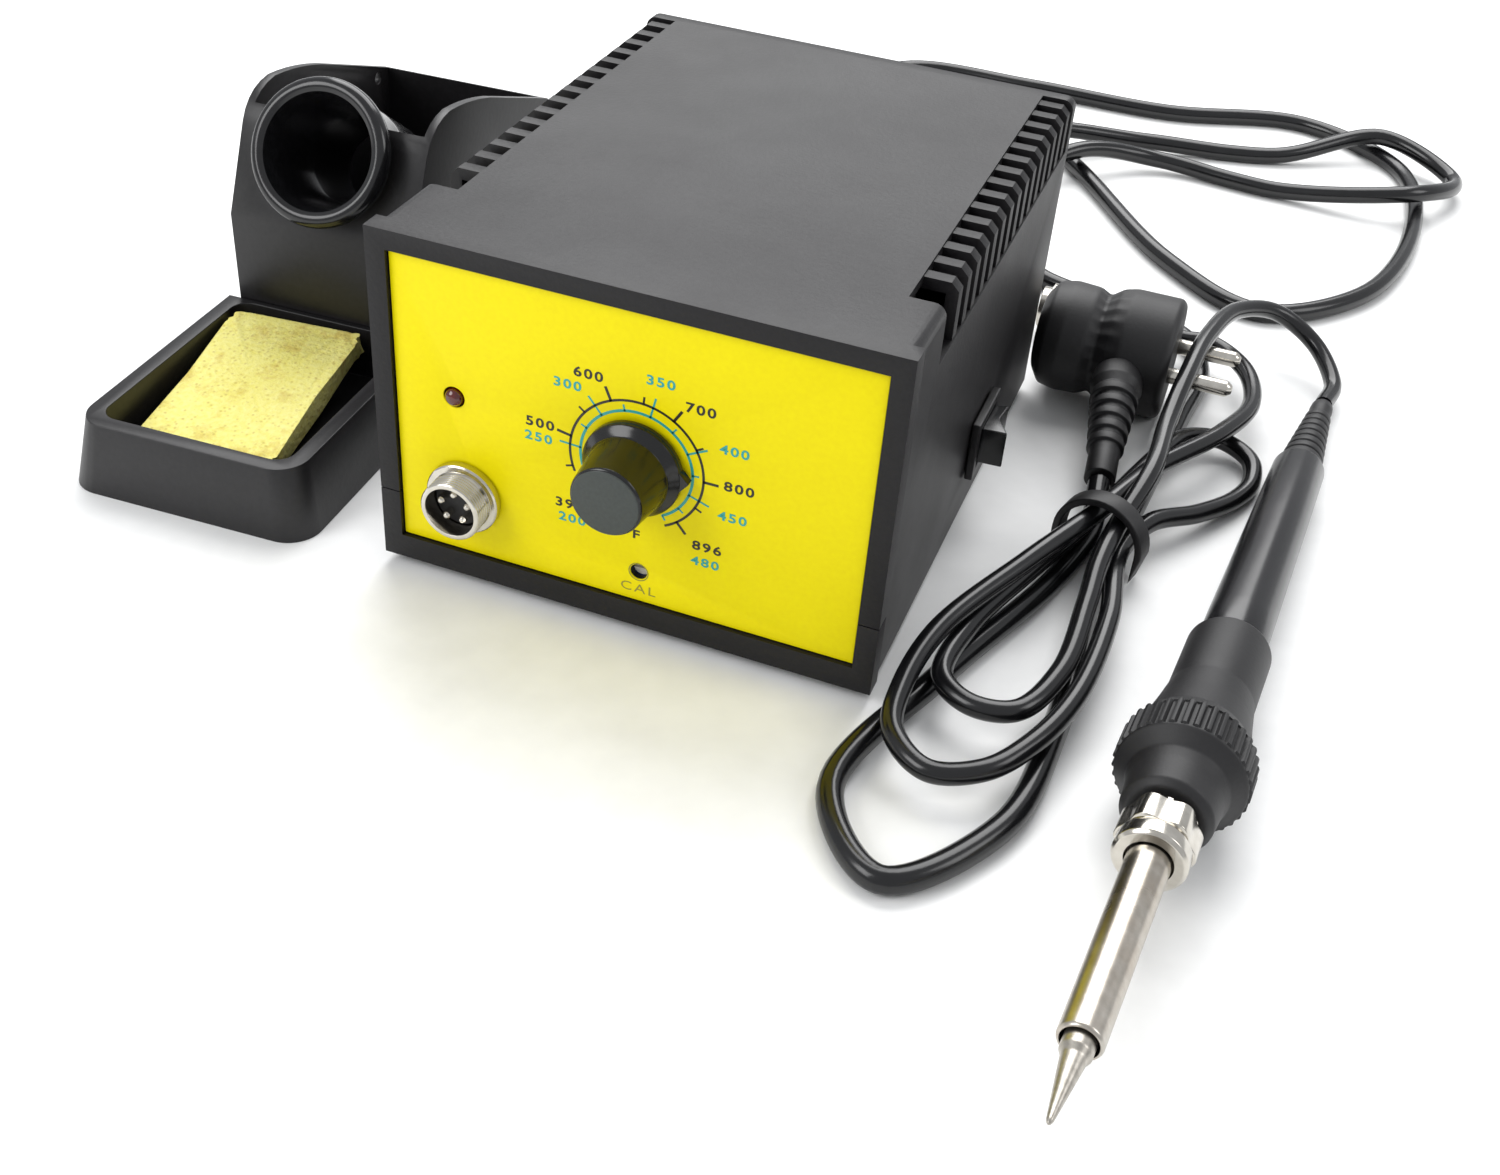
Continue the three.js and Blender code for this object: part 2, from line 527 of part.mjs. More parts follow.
// ---------------------------------------------------------------- base unit: inside
function insides() {
  const floor = FLOOR_Z + FLOOR_THICK;
  const low = floor + 2.4;
  const [x0, x1] = [-CORE_WIDTH / 2, CORE_WIDTH / 2];
  const [y0, y1] = [CORE_Y - CORE_DEPTH / 2, CORE_Y + CORE_DEPTH / 2];
  const limb = CORE_WIDTH / 6;
  const core = cut(
    box(x0, x1, y0, y1, low, low + CORE_HEIGHT),
    box(x0 + limb, -limb, y0 - 1, y1 + 1, low + limb, low + CORE_HEIGHT - limb),
    box(limb, x1 - limb, y0 - 1, y1 + 1, low + limb, low + CORE_HEIGHT - limb),
  );
  part('transformer_core', core, 'steel', layout);
  const windowTop = low + CORE_HEIGHT - limb - GAP;
  const coil = cut(
    alongZ(roundedRect(CORE_WIDTH - 2 * (limb + GAP), COIL_DEPTH, 5, 0, CORE_Y),
        low + limb + GAP, windowTop, 4),
    box(-limb - GAP, limb + GAP, y0 - GAP, y1 + GAP, 0, 100),
  );
  part('transformer_coil', coil, 'copper', layout);
  const foot = 9;
  const bracket = cut(
    join(
      box(x0 - foot - 2, x1 + foot + 2, y0 + 4, y1 - 4, floor + GAP, floor + 1.8),
      box(x0 - 1.7, x1 + 1.7, y0 + 4, y1 - 4, floor + GAP, low + CORE_HEIGHT + 1.7),
    ),
    box(x0 - GAP, x1 + GAP, y0, y1, floor + 1.8, low + CORE_HEIGHT + GAP),
  );
  part('transformer_bracket', bracket, 'steel', layout);
  const boardTop = BOARD_Z + BOARD_THICK;
  const board = box(-BOARD_WIDTH / 2, BOARD_WIDTH / 2, BOARD_Y - BOARD_DEPTH / 2, BOARD_Y + BOARD_DEPTH / 2,
    BOARD_Z, boardTop);
  part('circuit_board', board, 'board', layout);
  const on = boardTop + GAP;
  part('filter_capacitor', turned([[0, on], [8, on], [8, on + 2], [7.5, on + 2.6], [8, on + 3.2],
      [8, on + 24],
    [7.4, on + 25], [0, on + 25]], 24).translate(-34, BOARD_Y, 0), 'gloss', layout);
  const fins = Array.from({ length: 4 }, (_, i) => box(16 + i * 5, 17.4 + i * 5, BOARD_Y - 3,
      BOARD_Y + 12, on, on + 24));
  part('heat_sink', join(box(14, 34, BOARD_Y - 5, BOARD_Y - 2.6, on, on + 24), ...fins), 'steel', layout);
  part('triac', box(19, 29, BOARD_Y - 10, BOARD_Y - 5.4, on + 5, on + 21), 'housing', layout);
  part('fuse', rod(2.6, -10, 10, 16).rotateY(Math.PI / 2).translate(-4, BOARD_Y + 20, on + 3),
      'ceramic', layout);
}

function alongZ(shape, z0, z1, curveSegments = 6) {
  return new THREE.ExtrudeGeometry(shape, { depth: z1 - z0, bevelEnabled: false,
      curveSegments }).translate(0, 0, z0);
}

// ---------------------------------------------------------------- mains lead
// From the gland behind the unit: a wide loop and a narrow one behind its right rear corner, forward beside
// the unit, a long fold in front of the iron's cord, and back to the plug.
const MAINS_ROUTE = [
  [-30, 190.6, 24], [-30, 206, 23.4], [-33, 246, 5], [-50, 300, 3.3], [-62, 352, 3.3], [-42, 398, 3.3],
  [10, 404, 3.3], [68, 406, 3.3], [122, 423, 3.3], [162, 396, 3.3], [172, 340, 3.3], [158, 272, 3.3],
  [126, 243, 3.3], [92, 266, 3.3], [44, 332, 3.3], [4, 374, 3.3], [-34, 380, 3.3], [-44, 344, 3.3],
  [-14, 318, 3.3], [24, 342, 10.4], [66, 366, 5], [116, 382, 3.6], [154, 406, 10.6], [184, 388, 5.5],
  [170, 354, 10.8], [120, 348, 3.4], [74, 350, 5], [46, 330, 10.8], [26, 296, 4], [32, 258, 3.3],
  [54, 232, 3.3], [82, 223, 3.3], [106, 213, 3.3], [114.5, 192, 3.3], [113, 160, 3.3],
  [109.5, 112, 3.3], [106.4, 60, 3.3],
  [109, 8, 3.3], [105, -30, 3.3], [85, -55, 3.3], [67, -34, 3.3], [79, 14, 3.3], [95, 62, 3.3],
  [100, 90, 4], [98.3, 107.6, 8.6],
];

function mainsLead() {
  const hole = 7;
  const y0 = UNIT_DEPTH - 1.5 + GAP;
  const end = UNIT_DEPTH + GLAND_LENGTH;
  const gland = turned([
    [0, UNIT_DEPTH - 9], [hole, UNIT_DEPTH - 9], [hole, y0], [hole + 2.4, y0], [hole + 2.4, y0 + 3],
    [hole - 1, y0 + 4],
    [MAINS_RADIUS + 1.2, end], [0, end],
  ], 24).rotateX(-Math.PI / 2).scale(1, 1, -1);
  cordPieces.push(part('mains_gland', gland.translate(GLAND_X - BESIDE_X, 0, GLAND_Z), 'rubber', beside));
  cordPieces.push(part('mains_cord', cord(MAINS_ROUTE, MAINS_RADIUS, 8, MAINS_STEPS), 'gloss', beside));

  const back = -PLUG_DEPTH;
  const round = PLUG_RADIUS;
  const body = turned([
    [0, back], [round - 7, back], [round - 2.6, back + 3], [round - 1.6, back + 8], [round - 2, back + 15],
    [round - 3.6, back + 18.5], [round - 1, back + 22], [round, back + 26], [round, -1.5],
    [round - 1.5, 0], [0, 0],
  ], 24).rotateY(Math.PI / 2);
  const pinHoles = [-1, 1].map((side) => rod(PLUG_PIN_RADIUS + GAP, -8, 5, 14).rotateY(Math.PI / 2)
    .translate(0, (side * PLUG_PIN_PITCH) / 2, 0));
  const plug = cut(body, ...pinHoles).translate(PLUG_FACE_X, PLUG_Y, PLUG_RADIUS + 0.05);
  cordPieces.push(part('plug_body', plug, 'rubber', beside));
  [-1, 1].forEach((side, i) => {
    const pin = turned([[0, -7.6], [PLUG_PIN_RADIUS, -7.6], [PLUG_PIN_RADIUS, PLUG_PIN_LENGTH - 1.6],
      [PLUG_PIN_RADIUS * 0.5, PLUG_PIN_LENGTH], [0, PLUG_PIN_LENGTH]], 14).rotateY(Math.PI / 2);
    const place = [PLUG_FACE_X, PLUG_Y + (side * PLUG_PIN_PITCH) / 2, PLUG_RADIUS + 0.05];
    cordPieces.push(part(`plug_pin_${i + 1}`, pin.translate(...place), 'nickel', beside));
  });

  // The plug's strain relief leaves its round side and points at the end of the lead.
  const from = new THREE.Vector3(93.5, PLUG_Y - PLUG_RADIUS + 1.6, PLUG_RADIUS - 1);
  const to = new THREE.Vector3(98.2, 108, 8.9);
  const length = from.distanceTo(to);
  const relief = turned([[0, 0], [7.2, 0], [7.6, 4], [6.4, 9], [7, 12], [5.6, 22], [4.6, length],
      [0, length]], 20)
    .applyQuaternion(new THREE.Quaternion().setFromUnitVectors(new THREE.Vector3(0, 0, 1),
        to.clone().sub(from).normalize()))
    .translate(from.x, from.y, from.z);
  const socket = rod(PLUG_RADIUS + GAP, -60, 60, 32).rotateY(Math.PI / 2).translate(PLUG_FACE_X,
      PLUG_Y, PLUG_RADIUS + 0.05);
  cordPieces.push(part('plug_relief', cut(relief, socket), 'rubber', beside));
}

// ---------------------------------------------------------------- iron stand
function ironStand() {
  const stand = new THREE.Group();
  stand.position.set(STAND_X, STAND_Y, 0);
  stand.rotation.z = THREE.MathUtils.degToRad(STAND_TURN);
  layout.add(stand);

  // The tray block leans in on the way up; it is cut from a straight block by a stack of lofted outlines.
  const loft = (width, length, taper, height) => {
    const low = roundedRect(width, length, BASE_CORNER, 0, length / 2);
    const points = low.getPoints(6);
    const g = new THREE.ExtrudeGeometry(new THREE.Shape(points), { depth: height, bevelEnabled: false });
    const p = g.getAttribute('position');
    for (let i = 0; i < p.count; i += 1) {
      const t = p.getZ(i) / height;
      p.setX(i, p.getX(i) * (1 - (t * taper * 2) / width));
      p.setY(i, taper * t + p.getY(i) * (1 - (t * taper * 2) / length));
    }
    return g;
  };
  const trayFront = BASE_TAPER + TRAY_RIM;
  const trayBack = TRAY_LENGTH - 2;
  const trayInner = roundedRect(BASE_WIDTH - 2 * trayFront, trayBack - trayFront, 5, 0,
      (trayFront + trayBack) / 2);
  const base = cut(
    loft(BASE_WIDTH, BASE_LENGTH, BASE_TAPER, BASE_HEIGHT),
    alongZ(trayInner, TRAY_FLOOR, BASE_HEIGHT + 1),
    box(-BASE_WIDTH, BASE_WIDTH, TRAY_LENGTH - GAP, BASE_LENGTH + 1, REAR_PLATE, BASE_HEIGHT + 1),
  );
  part('stand_base', base, 'housing', stand);

  const low = REAR_PLATE + GAP;
  const side = new THREE.Shape();
  side.moveTo(TRAY_LENGTH, low);
  side.lineTo(TRAY_LENGTH, 46.9);
  side.lineTo(TRAY_LENGTH + 11, 71);
  side.quadraticCurveTo(TRAY_LENGTH + 15, 79, TRAY_LENGTH + 26, 79.5);
  side.quadraticCurveTo(TRAY_LENGTH + 38, 78.5, TRAY_LENGTH + 52, 74);
  side.lineTo(BASE_LENGTH - 5, 58.5);
  side.lineTo(BASE_LENGTH - 3, low);
  const w = HOLDER_WALL;
  const inside = outline([[TRAY_LENGTH + w, low - 5], [TRAY_LENGTH + w, 46.4], [TRAY_LENGTH + 14.2, 72.5],
    [TRAY_LENGTH + 21, 120], [BASE_LENGTH - 5 - w, 120], [BASE_LENGTH - 5 - w, low - 5]]);
  const half = HOLDER_WIDTH / 2;
  const notch = rod(COLLAR_BODY + GAP, -20, 50, 32)
    .rotateX(THREE.MathUtils.degToRad(-90 - COLLAR_TILT))
    .translate(0, COLLAR_Y, COLLAR_Z);
  const holder = cut(alongX(side, -half, half, 5), alongX(inside, -half + w, half - w), notch,
    rod(2, -10, 10, 12).rotateY(Math.PI / 2).translate(-half, BASE_LENGTH - 14, 58));
  part('stand_holder', holder, 'housing', stand);

  const r = COLLAR_RADIUS;
  const collar = turned([
    [r - 4.4, 0.6], [r - 3, -0.2], [r - 1.4, 0.1], [r - 0.3, 1.2], [r, 3], [r - 0.6, 5.2],
    [r - 2.6, 7.2], [COLLAR_BODY, 7.8],
    [COLLAR_BODY, 22], [COLLAR_BODY - 2.6, COLLAR_LENGTH], [COLLAR_BODY - 5, COLLAR_LENGTH],
    [COLLAR_BODY - 4.2, 22],
    [r - 6, 5], [r - 4.4, 0.6],
  ], 28).rotateX(THREE.MathUtils.degToRad(-90 - COLLAR_TILT)).translate(0, COLLAR_Y, COLLAR_Z);
  part('stand_collar', collar, 'gloss', stand);

  const sponge = new THREE.ExtrudeGeometry(roundedRect(SPONGE_WIDTH, SPONGE_LENGTH, 1.5),
    { depth: SPONGE_THICK, bevelEnabled: false, curveSegments: 3 }).translate(0, 0, -SPONGE_THICK / 2);
  const mesh = part('sponge', sponge, 'sponge', stand);
  mesh.position.set(SPONGE_SIDE, trayBack - SPONGE_LENGTH / 2 - 2.5, TRAY_FLOOR + SPONGE_LIFT);
  mesh.rotation.set(THREE.MathUtils.degToRad(SPONGE_LEAN), 0, THREE.MathUtils.degToRad(SPONGE_TURN));
}

// ---------------------------------------------------------------- iron
// Turned pieces share one axis, +Z in their own group: 0 is the flange, minus is towards the tip.
function ironHandpiece() {
  const iron = new THREE.Group();
  const slope = Math.asin((FLANGE_RADIUS - HANDLE_END_RADIUS) / HANDLE_END);
  iron.position.set(FLANGE_X, FLANGE_Y, FLANGE_RADIUS + 0.6);
  iron.rotation.order = 'ZXY';
  iron.rotation.set(-Math.PI / 2 - slope, 0, THREE.MathUtils.degToRad(IRON_TURN));
  beside.add(iron);

  const bore = HEATER_RADIUS + 0.6;
  part('iron_tip', turned([
    [0, -TIP_END], [0.5, -TIP_END + 0.3], [TIP_RADIUS - 0.7, -PIPE_END - 4], [TIP_RADIUS, -PIPE_END - 2.5],
    [TIP_RADIUS, -36], [bore, -36], [bore, -72], [0, -74],
  ], 24), 'nickel', iron);
  const pipeIn = TIP_RADIUS + 0.6;
  part('tip_pipe', turned([
    [pipeIn, -PIPE_END], [PIPE_RADIUS - 0.4, -PIPE_END], [PIPE_RADIUS, -PIPE_END + 0.6],
    [PIPE_RADIUS + 0.2, -32.8],
    [PIPE_RADIUS + 1.3, -32.6], [PIPE_RADIUS + 1.3, -30], [pipeIn, -30], [pipeIn, -PIPE_END],
  ], 24), 'steel', iron);
  const noseRadius = PIPE_RADIUS + 1.3;
  const nutBore = noseRadius + GAP;
  const pipeHole = PIPE_RADIUS + 0.2 + GAP + 0.2;
  const nut = cut(
    join(rod(NUT_RADIUS + 0.6, -31.5, -23, 6), turned([[0, -36], [NUT_RADIUS - 0.8, -36],
        [NUT_RADIUS, -35.2],
      [NUT_RADIUS, -31.6], [NUT_RADIUS - 1.2, -31], [0, -31]], 32)),
    rod(pipeHole, -50, -30, 28),
    rod(nutBore, -33.2, -10, 28),
  );
  part('iron_nut', nut, 'nickel', iron);
  part('iron_nose', ring(HEATER_RADIUS + 1, noseRadius, -29.5, -6, 24), 'steel', iron);
  part('heater', turned([[0, -70], [HEATER_RADIUS, -69], [HEATER_RADIUS, 4], [0, 4]], 14), 'ceramic', iron);

  const gripBore = noseRadius + GAP;
  const handleBore = HANDLE_FRONT_RADIUS - 1 + GAP;
  part('iron_grip', turned([
    [gripBore, -21.5], [GRIP_RADIUS - 1.4, -21.5], [GRIP_RADIUS, -20], [GRIP_RADIUS + 0.8, -10],
    [FLANGE_RADIUS - 0.6, -7],
    [FLANGE_RADIUS, -6], [FLANGE_RADIUS, 2.5], [GRIP_RADIUS + 2.4, 7], [GRIP_RADIUS + 1, 16],
    [GRIP_RADIUS, 24],
    [GRIP_RADIUS, GRIP_END - 1], [GRIP_RADIUS - 1, GRIP_END], [handleBore, GRIP_END], [handleBore, 6],
    [gripBore, 6],
    [gripBore, -21.5],
  ], 28), 'rubber', iron);
  const hollow = HANDLE_END_RADIUS - 2.2;
  part('iron_handle', turned([
    [hollow, 7], [HANDLE_FRONT_RADIUS - 1, 7], [HANDLE_FRONT_RADIUS - 1, GRIP_END + GAP],
    [HANDLE_FRONT_RADIUS, GRIP_END + GAP],
    [HANDLE_END_RADIUS, HANDLE_END - 1], [HANDLE_END_RADIUS - 0.8, HANDLE_END], [hollow, HANDLE_END],
    [hollow, 7],
  ], 24), 'gloss', iron);
  const start = HANDLE_END - 8;
  const outer = HANDLE_END_RADIUS - 1.2;
  part('iron_relief', turned([
    [0, start], [hollow - GAP, start], [hollow - GAP, HANDLE_END + GAP], [outer, HANDLE_END + GAP],
    [outer, HANDLE_END + 12], [IRON_CORD_RADIUS + 1, RELIEF_END - 3], [IRON_CORD_RADIUS + 0.6, RELIEF_END],
    [0, RELIEF_END],
  ], 16), 'rubber', iron);
}

// The iron's cord: from the strain relief up over the plug's pins, four passes through the tie, and out to
// the connector that lies behind the plug.
const IRON_ROUTE = [
  [153.1, 184.9, 6.3], [154.6, 200, 6], [146.3, 213.5, 11.2], [133.1, 215.7, 17.8], [120.9, 201.6, 22.6],
  [114.9, 177.4, 24.4], [112.8, 152.7, 23.8], [111.6, 128, 20.4], [111.8, 102.4, 19.6], [107.6, 77.3, 15.2],
  [106.4, 61, 13.7], [106.8, 46, 12], [106.3, 19.2, 10.3], [99.6, 1.8, 9.8], [89.4, -0.3, 9.6],
  [80.8, 6.4, 9.6], [81.7, 28.3, 9.6], [89.8, 55.7, 9.7], [98.7, 82.7, 10.2], [103.9, 98.5, 10.3],
  [107.2, 112.8, 9.6], [112.4, 131, 9.2], [117.4, 144.4, 7.6], [127, 150.8, 5.4], [136, 146.4, 3.9],
  [138.2, 135.6, 3.1], [135, 124, 3.4], [126.4, 109, 5.5], [115.2, 93.8, 8.8], [110, 75.8, 9],
  [113, 45.7, 9.6], [111.6, 12.5, 10],
  [106, -7, 9.8], [97.6, -20, 9.2], [86, -24.6, 8.6], [75.6, -16.6, 9.4], [73.2, -2, 10.8],
  [76, 18, 13.9], [89.4, 51.8, 15.6],
  [101, 80.5, 15.6], [106.8, 97.5, 15.3], [111.4, 112, 14.4], [126.4, 143, 12.4], [132.4, 168, 10.2],
  [127.5, 189, 9.8], [115.5, 200.4, 9.9], [107, 201, 9], [100.6, 201, 8.9],
];

function ironCord() {
  cordPieces.push(part('iron_cord', cord(IRON_ROUTE, IRON_CORD_RADIUS, 8, IRON_CORD_STEPS),
      'gloss', beside));
  // The tie is a loop that is open towards the bench, so the cords under it stay where they are.
  const inner = TIE_INNER;
  const wall = TIE_WALL;
  const centre = TIE_CENTRE_Z;
  const band = new THREE.Shape();
  band.moveTo(inner + wall, 0.4);
  band.absarc(0, centre, inner + wall, 0, Math.PI, false);
  band.lineTo(-inner - wall, 0.4);
  band.lineTo(-inner, 0.4);
  band.absarc(0, centre, inner, Math.PI, 0, true);
  band.lineTo(inner, 0.4);
  const tie = alongY(band, -TIE_WIDTH / 2, TIE_WIDTH / 2, 10);
  const mesh = part('cord_tie', tie, 'rubber', beside);
  mesh.position.set(TIE_X, TIE_Y, 0);
  mesh.rotation.z = THREE.MathUtils.degToRad(TIE_TURN);
  cordPieces.push(mesh);

  const place = (geometry) => geometry.rotateY(-Math.PI / 2).translate(CONNECTOR_X, CONNECTOR_Y,
      CONNECTOR_RADIUS + 0.2);
  cordPieces.push(part('connector_body', place(turned([
    [0, 0], [3.6, 0], [4.6, 6], [6.6, 9], [7.2, 22], [6.6, 24], [6.6, 40], [0, 40],
  ], 24)), 'nickel', beside));
  const teeth = Array.from({ length: 12 }, (_, i) => box(7.9, 8.7, -0.9, 0.9, 25,
      35).rotateZ((i * Math.PI) / 6));
  cordPieces.push(part('connector_ring', place(join(ring(6.6 + GAP, 8.2, 24.6, 37, 28), ...teeth)),
      'nickel', beside));
}

// ---------------------------------------------------------------- assembly
baseTray();
topCover();
panels();
feetAndScrews();
ironSocket();
dialFittings();
smallFittings();
powerSwitch();
insides();
mainsLead();
ironStand();
ironHandpiece();
ironCord();

// The origin is the bottom centre of everything but the leads, rounded to whole millimetres.
const station = new THREE.Group();
station.add(layout);
station.updateMatrixWorld(true);
const extent = new THREE.Box3();
layout.traverse((mesh) => {
  if (mesh.isMesh && !cordPieces.includes(mesh)) extent.expandByObject(mesh, true);
});
const middle = extent.getCenter(new THREE.Vector3());
layout.position.set(-Math.round(middle.x), -Math.round(middle.y), 0);
station.updateMatrixWorld(true);

export default station;
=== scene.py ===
# %% [markdown]
# # Soldering iron station
# A base unit with a yellow front panel, a stand with its sponge, the iron, and two black leads.
# The solid model of every piece is loaded first. It gives the places, and this script gives the finish:
# soft edges, finer round pieces, printing, cords and materials.

# %% Load the frame
import bpy
import bmesh
import json
import math
import numpy as np
from mathutils import Matrix, Vector

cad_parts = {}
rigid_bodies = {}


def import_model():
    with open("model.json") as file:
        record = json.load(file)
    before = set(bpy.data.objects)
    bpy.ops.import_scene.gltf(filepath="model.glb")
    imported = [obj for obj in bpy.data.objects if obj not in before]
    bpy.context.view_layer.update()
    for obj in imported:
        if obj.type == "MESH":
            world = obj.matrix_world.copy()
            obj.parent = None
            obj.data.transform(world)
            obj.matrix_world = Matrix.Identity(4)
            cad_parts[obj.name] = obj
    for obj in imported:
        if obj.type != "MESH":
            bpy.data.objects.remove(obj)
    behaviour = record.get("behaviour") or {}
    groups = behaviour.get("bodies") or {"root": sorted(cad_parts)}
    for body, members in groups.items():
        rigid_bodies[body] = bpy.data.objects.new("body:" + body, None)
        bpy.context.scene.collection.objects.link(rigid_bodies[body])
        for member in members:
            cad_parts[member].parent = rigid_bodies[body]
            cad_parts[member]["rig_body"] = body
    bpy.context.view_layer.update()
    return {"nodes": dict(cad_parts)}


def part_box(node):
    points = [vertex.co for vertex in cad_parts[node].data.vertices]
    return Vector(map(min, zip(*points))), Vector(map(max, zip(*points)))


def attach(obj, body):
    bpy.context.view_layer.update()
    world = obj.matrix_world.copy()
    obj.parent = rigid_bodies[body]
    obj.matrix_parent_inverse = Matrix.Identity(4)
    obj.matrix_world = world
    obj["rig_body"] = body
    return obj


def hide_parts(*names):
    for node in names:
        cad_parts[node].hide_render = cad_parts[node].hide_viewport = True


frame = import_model()
nodes = frame["nodes"]
print("nodes", len(nodes))

# %% [markdown]
# ## Measures
# The unit's own frame is in millimetres. Its front face is at y = 0, its middle at x = 0, and the bench at
# z = 0.
# One box of the solid model, the top cover's, says where that frame lies, so every place below is written in
# millimetres.

# %% The unit's own frame
MM = 0.001
cover_low, cover_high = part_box("top_cover")
SHIFT = np.array([(cover_low.x + cover_high.x) / 2, cover_low.y, 0.0])


def metres(points):
    """Millimetres in the unit's frame to metres in the row frame: scaled, then shifted."""
    return np.asarray(points, float) * MM + SHIFT


print("shift", SHIFT.round(4))

# %% [markdown]
# ## Camera
# A near view from above the front right corner, with a little roll, as a hand-held camera gives.

# %% Camera
camera = bpy.data.objects.new("camera", bpy.data.cameras.new("camera"))
bpy.context.scene.collection.objects.link(camera)
bpy.context.scene.camera = camera
YAW, PITCH, ROLL = -0.31494, -0.62775, 0.08375
forward = np.array([math.sin(YAW) * math.cos(PITCH), math.cos(YAW) * math.cos(PITCH), math.sin(PITCH)])
right = np.array([math.cos(YAW), -math.sin(YAW), 0.0])
up = np.cross(right, forward)
right, up = (math.cos(ROLL) * right + math.sin(ROLL) * up, -math.sin(ROLL) * right + math.cos(ROLL) * up)
turn = np.eye(4)
turn[:3, 0], turn[:3, 1], turn[:3, 2] = right, up, -forward
turn[:3, 3] = metres((130.8, -302.7, 272.1))

camera.matrix_world = Matrix(turn.tolist())
camera.data.sensor_width = 36
camera.data.lens = 41.08
camera.data.shift_y = -0.0383
camera.data.clip_start = 0.01
print("camera", np.round(turn[:3, 3], 3))

# %% [markdown]
# ## Materials
# Every finish is worked out by its nodes from the piece's own coordinates. One small function adds a node.

# %% Material helpers
def colour(hex_value):
    """An sRGB hex value as linear light: each channel c becomes ((c + 0.055) / 1.055) ** 2.4."""
    c = np.array([int(hex_value[i:i + 2], 16) / 255 for i in (1, 3, 5)])
    linear = np.where(c <= 0.04045, c / 12.92, ((c + 0.055) / 1.055) ** 2.4)
    return (*linear.tolist(), 1.0)


def add(tree, kind, settings=None, **links):
    """Adds one node; a link is an output socket, and anything else is set as a value."""
    node = tree.nodes.new(kind)
    for key, value in (settings or {}).items():
        setattr(node, key, value)
    for name, value in links.items():
        by_number = name[1:].isdigit()
        socket = node.inputs[int(name[1:]) if by_number else name.strip("_").replace("_", " ")]
        if isinstance(value, bpy.types.NodeSocket):
            tree.links.new(value, socket)
        else:
            socket.default_value = value
    return node


def ramp(tree, source, stops):
    """A colour ramp through (place, hex) stops."""
    node = add(tree, "ShaderNodeValToRGB", _0=source)
    for i, (place, value) in enumerate(stops):
        stop = node.color_ramp.elements[i] if i < 2 else node.color_ramp.elements.new(place)
        stop.position = place
        stop.color = colour(value)
    return node.outputs["Color"]


def spread(tree, source, low, high):
    """Carries a 0 to 1 pattern to low..high."""
    return add(tree, "ShaderNodeMapRange", _0=source, _3=low, _4=high).outputs[0]


def finish_for(name, grain_mm, bump_mm, dark, light, rough, metal=0.0, extra=None, wear=None, detail=4.0,
               **fixed):
    """A finish from two noise patterns. grain_mm is the size of its fine texture and bump_mm how far that
    stands out. dark and light are the ends of the colour, rough the ends of the roughness."""
    material = bpy.data.materials.new(name)
    material.use_nodes = True
    tree = material.node_tree
    shader = tree.nodes["Principled BSDF"]
    place = add(tree, "ShaderNodeTexCoord").outputs["Object"]
    fine = add(tree, "ShaderNodeTexNoise", _Vector=place, _Scale=1000 / grain_mm, _Detail=detail)
    broad = add(tree, "ShaderNodeTexNoise", _Vector=place, _Scale=1000 / 38, _Detail=5.0, _Roughness=0.62)
    tone = add(tree, "ShaderNodeMath", {"operation": "ADD"}, _0=fine.outputs[0], _1=broad.outputs[0])
    half = add(tree, "ShaderNodeMath", {"operation": "MULTIPLY"}, _0=tone.outputs[0], _1=0.5)
    base = ramp(tree, half.outputs[0], [(0.32, dark), (0.68, light)])
    if extra:
        base = extra(tree, place, base)
    tree.links.new(base, shader.inputs["Base Color"])
    tree.links.new(spread(tree, broad.outputs[0], rough[0], rough[1]), shader.inputs["Roughness"])
    shader.inputs["Metallic"].default_value = metal
    bump = add(tree, "ShaderNodeBump", _Strength=0.6, _Distance=bump_mm * MM, _Height=fine.outputs[0])
    tree.links.new(bump.outputs[0], shader.inputs["Normal"])
    for socket, value in fixed.items():
        shader.inputs[socket.replace("_", " ")].default_value = value
    return material


# %% [markdown]
# The case is charcoal ABS from a spark-textured mould: dull, with a fine pebble that breaks up the light.
# The iron's stand has a moulded black finish of its own.

# %% Case plastics
case_abs = finish_for("spark textured charcoal ABS", 1.1, 0.12, "#0c0b0d", "#171517", (0.38, 0.56),
                      Specular_IOR_Level=0.32)
stand_abs = finish_for("moulded black ABS", 1.6, 0.06, "#0e0d0e", "#1c1a1c", (0.34, 0.50))
collar_phenolic = finish_for("polished black phenolic", 2.2, 0.015, "#0c0c0d", "#1a1a1c", (0.12, 0.24))
knob_cap = finish_for("turned knob, black phenolic", 2.2, 0.01, "#0b0b0c", "#141415", (0.12, 0.24))
knob_face = finish_for("knob face, dark moulded cap", 0.9, 0.02, "#2c312f", "#3a403d", (0.32, 0.46))
print("case plastics made")

# %% [markdown]
# The leads have a smooth extruded PVC sheath, so a long highlight runs along them. The grip, the reliefs and
# the plug are softer and duller.

# %% Leads and rubber
pvc_sheath = finish_for("extruded PVC sheath", 5.0, 0.03, "#080809", "#131315", (0.14, 0.27))
soft_rubber = finish_for("moulded soft rubber", 1.0, 0.05, "#0b0a0c", "#161517", (0.44, 0.62))
handle_nylon = finish_for("satin nylon handle", 1.8, 0.02, "#0b0b0d", "#161518", (0.18, 0.32))
foot_rubber = finish_for("foot rubber", 0.9, 0.06, "#19191a", "#2c2c2d", (0.62, 0.8))

# %% [markdown]
# Plated and plain metals. The barrel of the iron has gone straw and grey with heat near its tip.

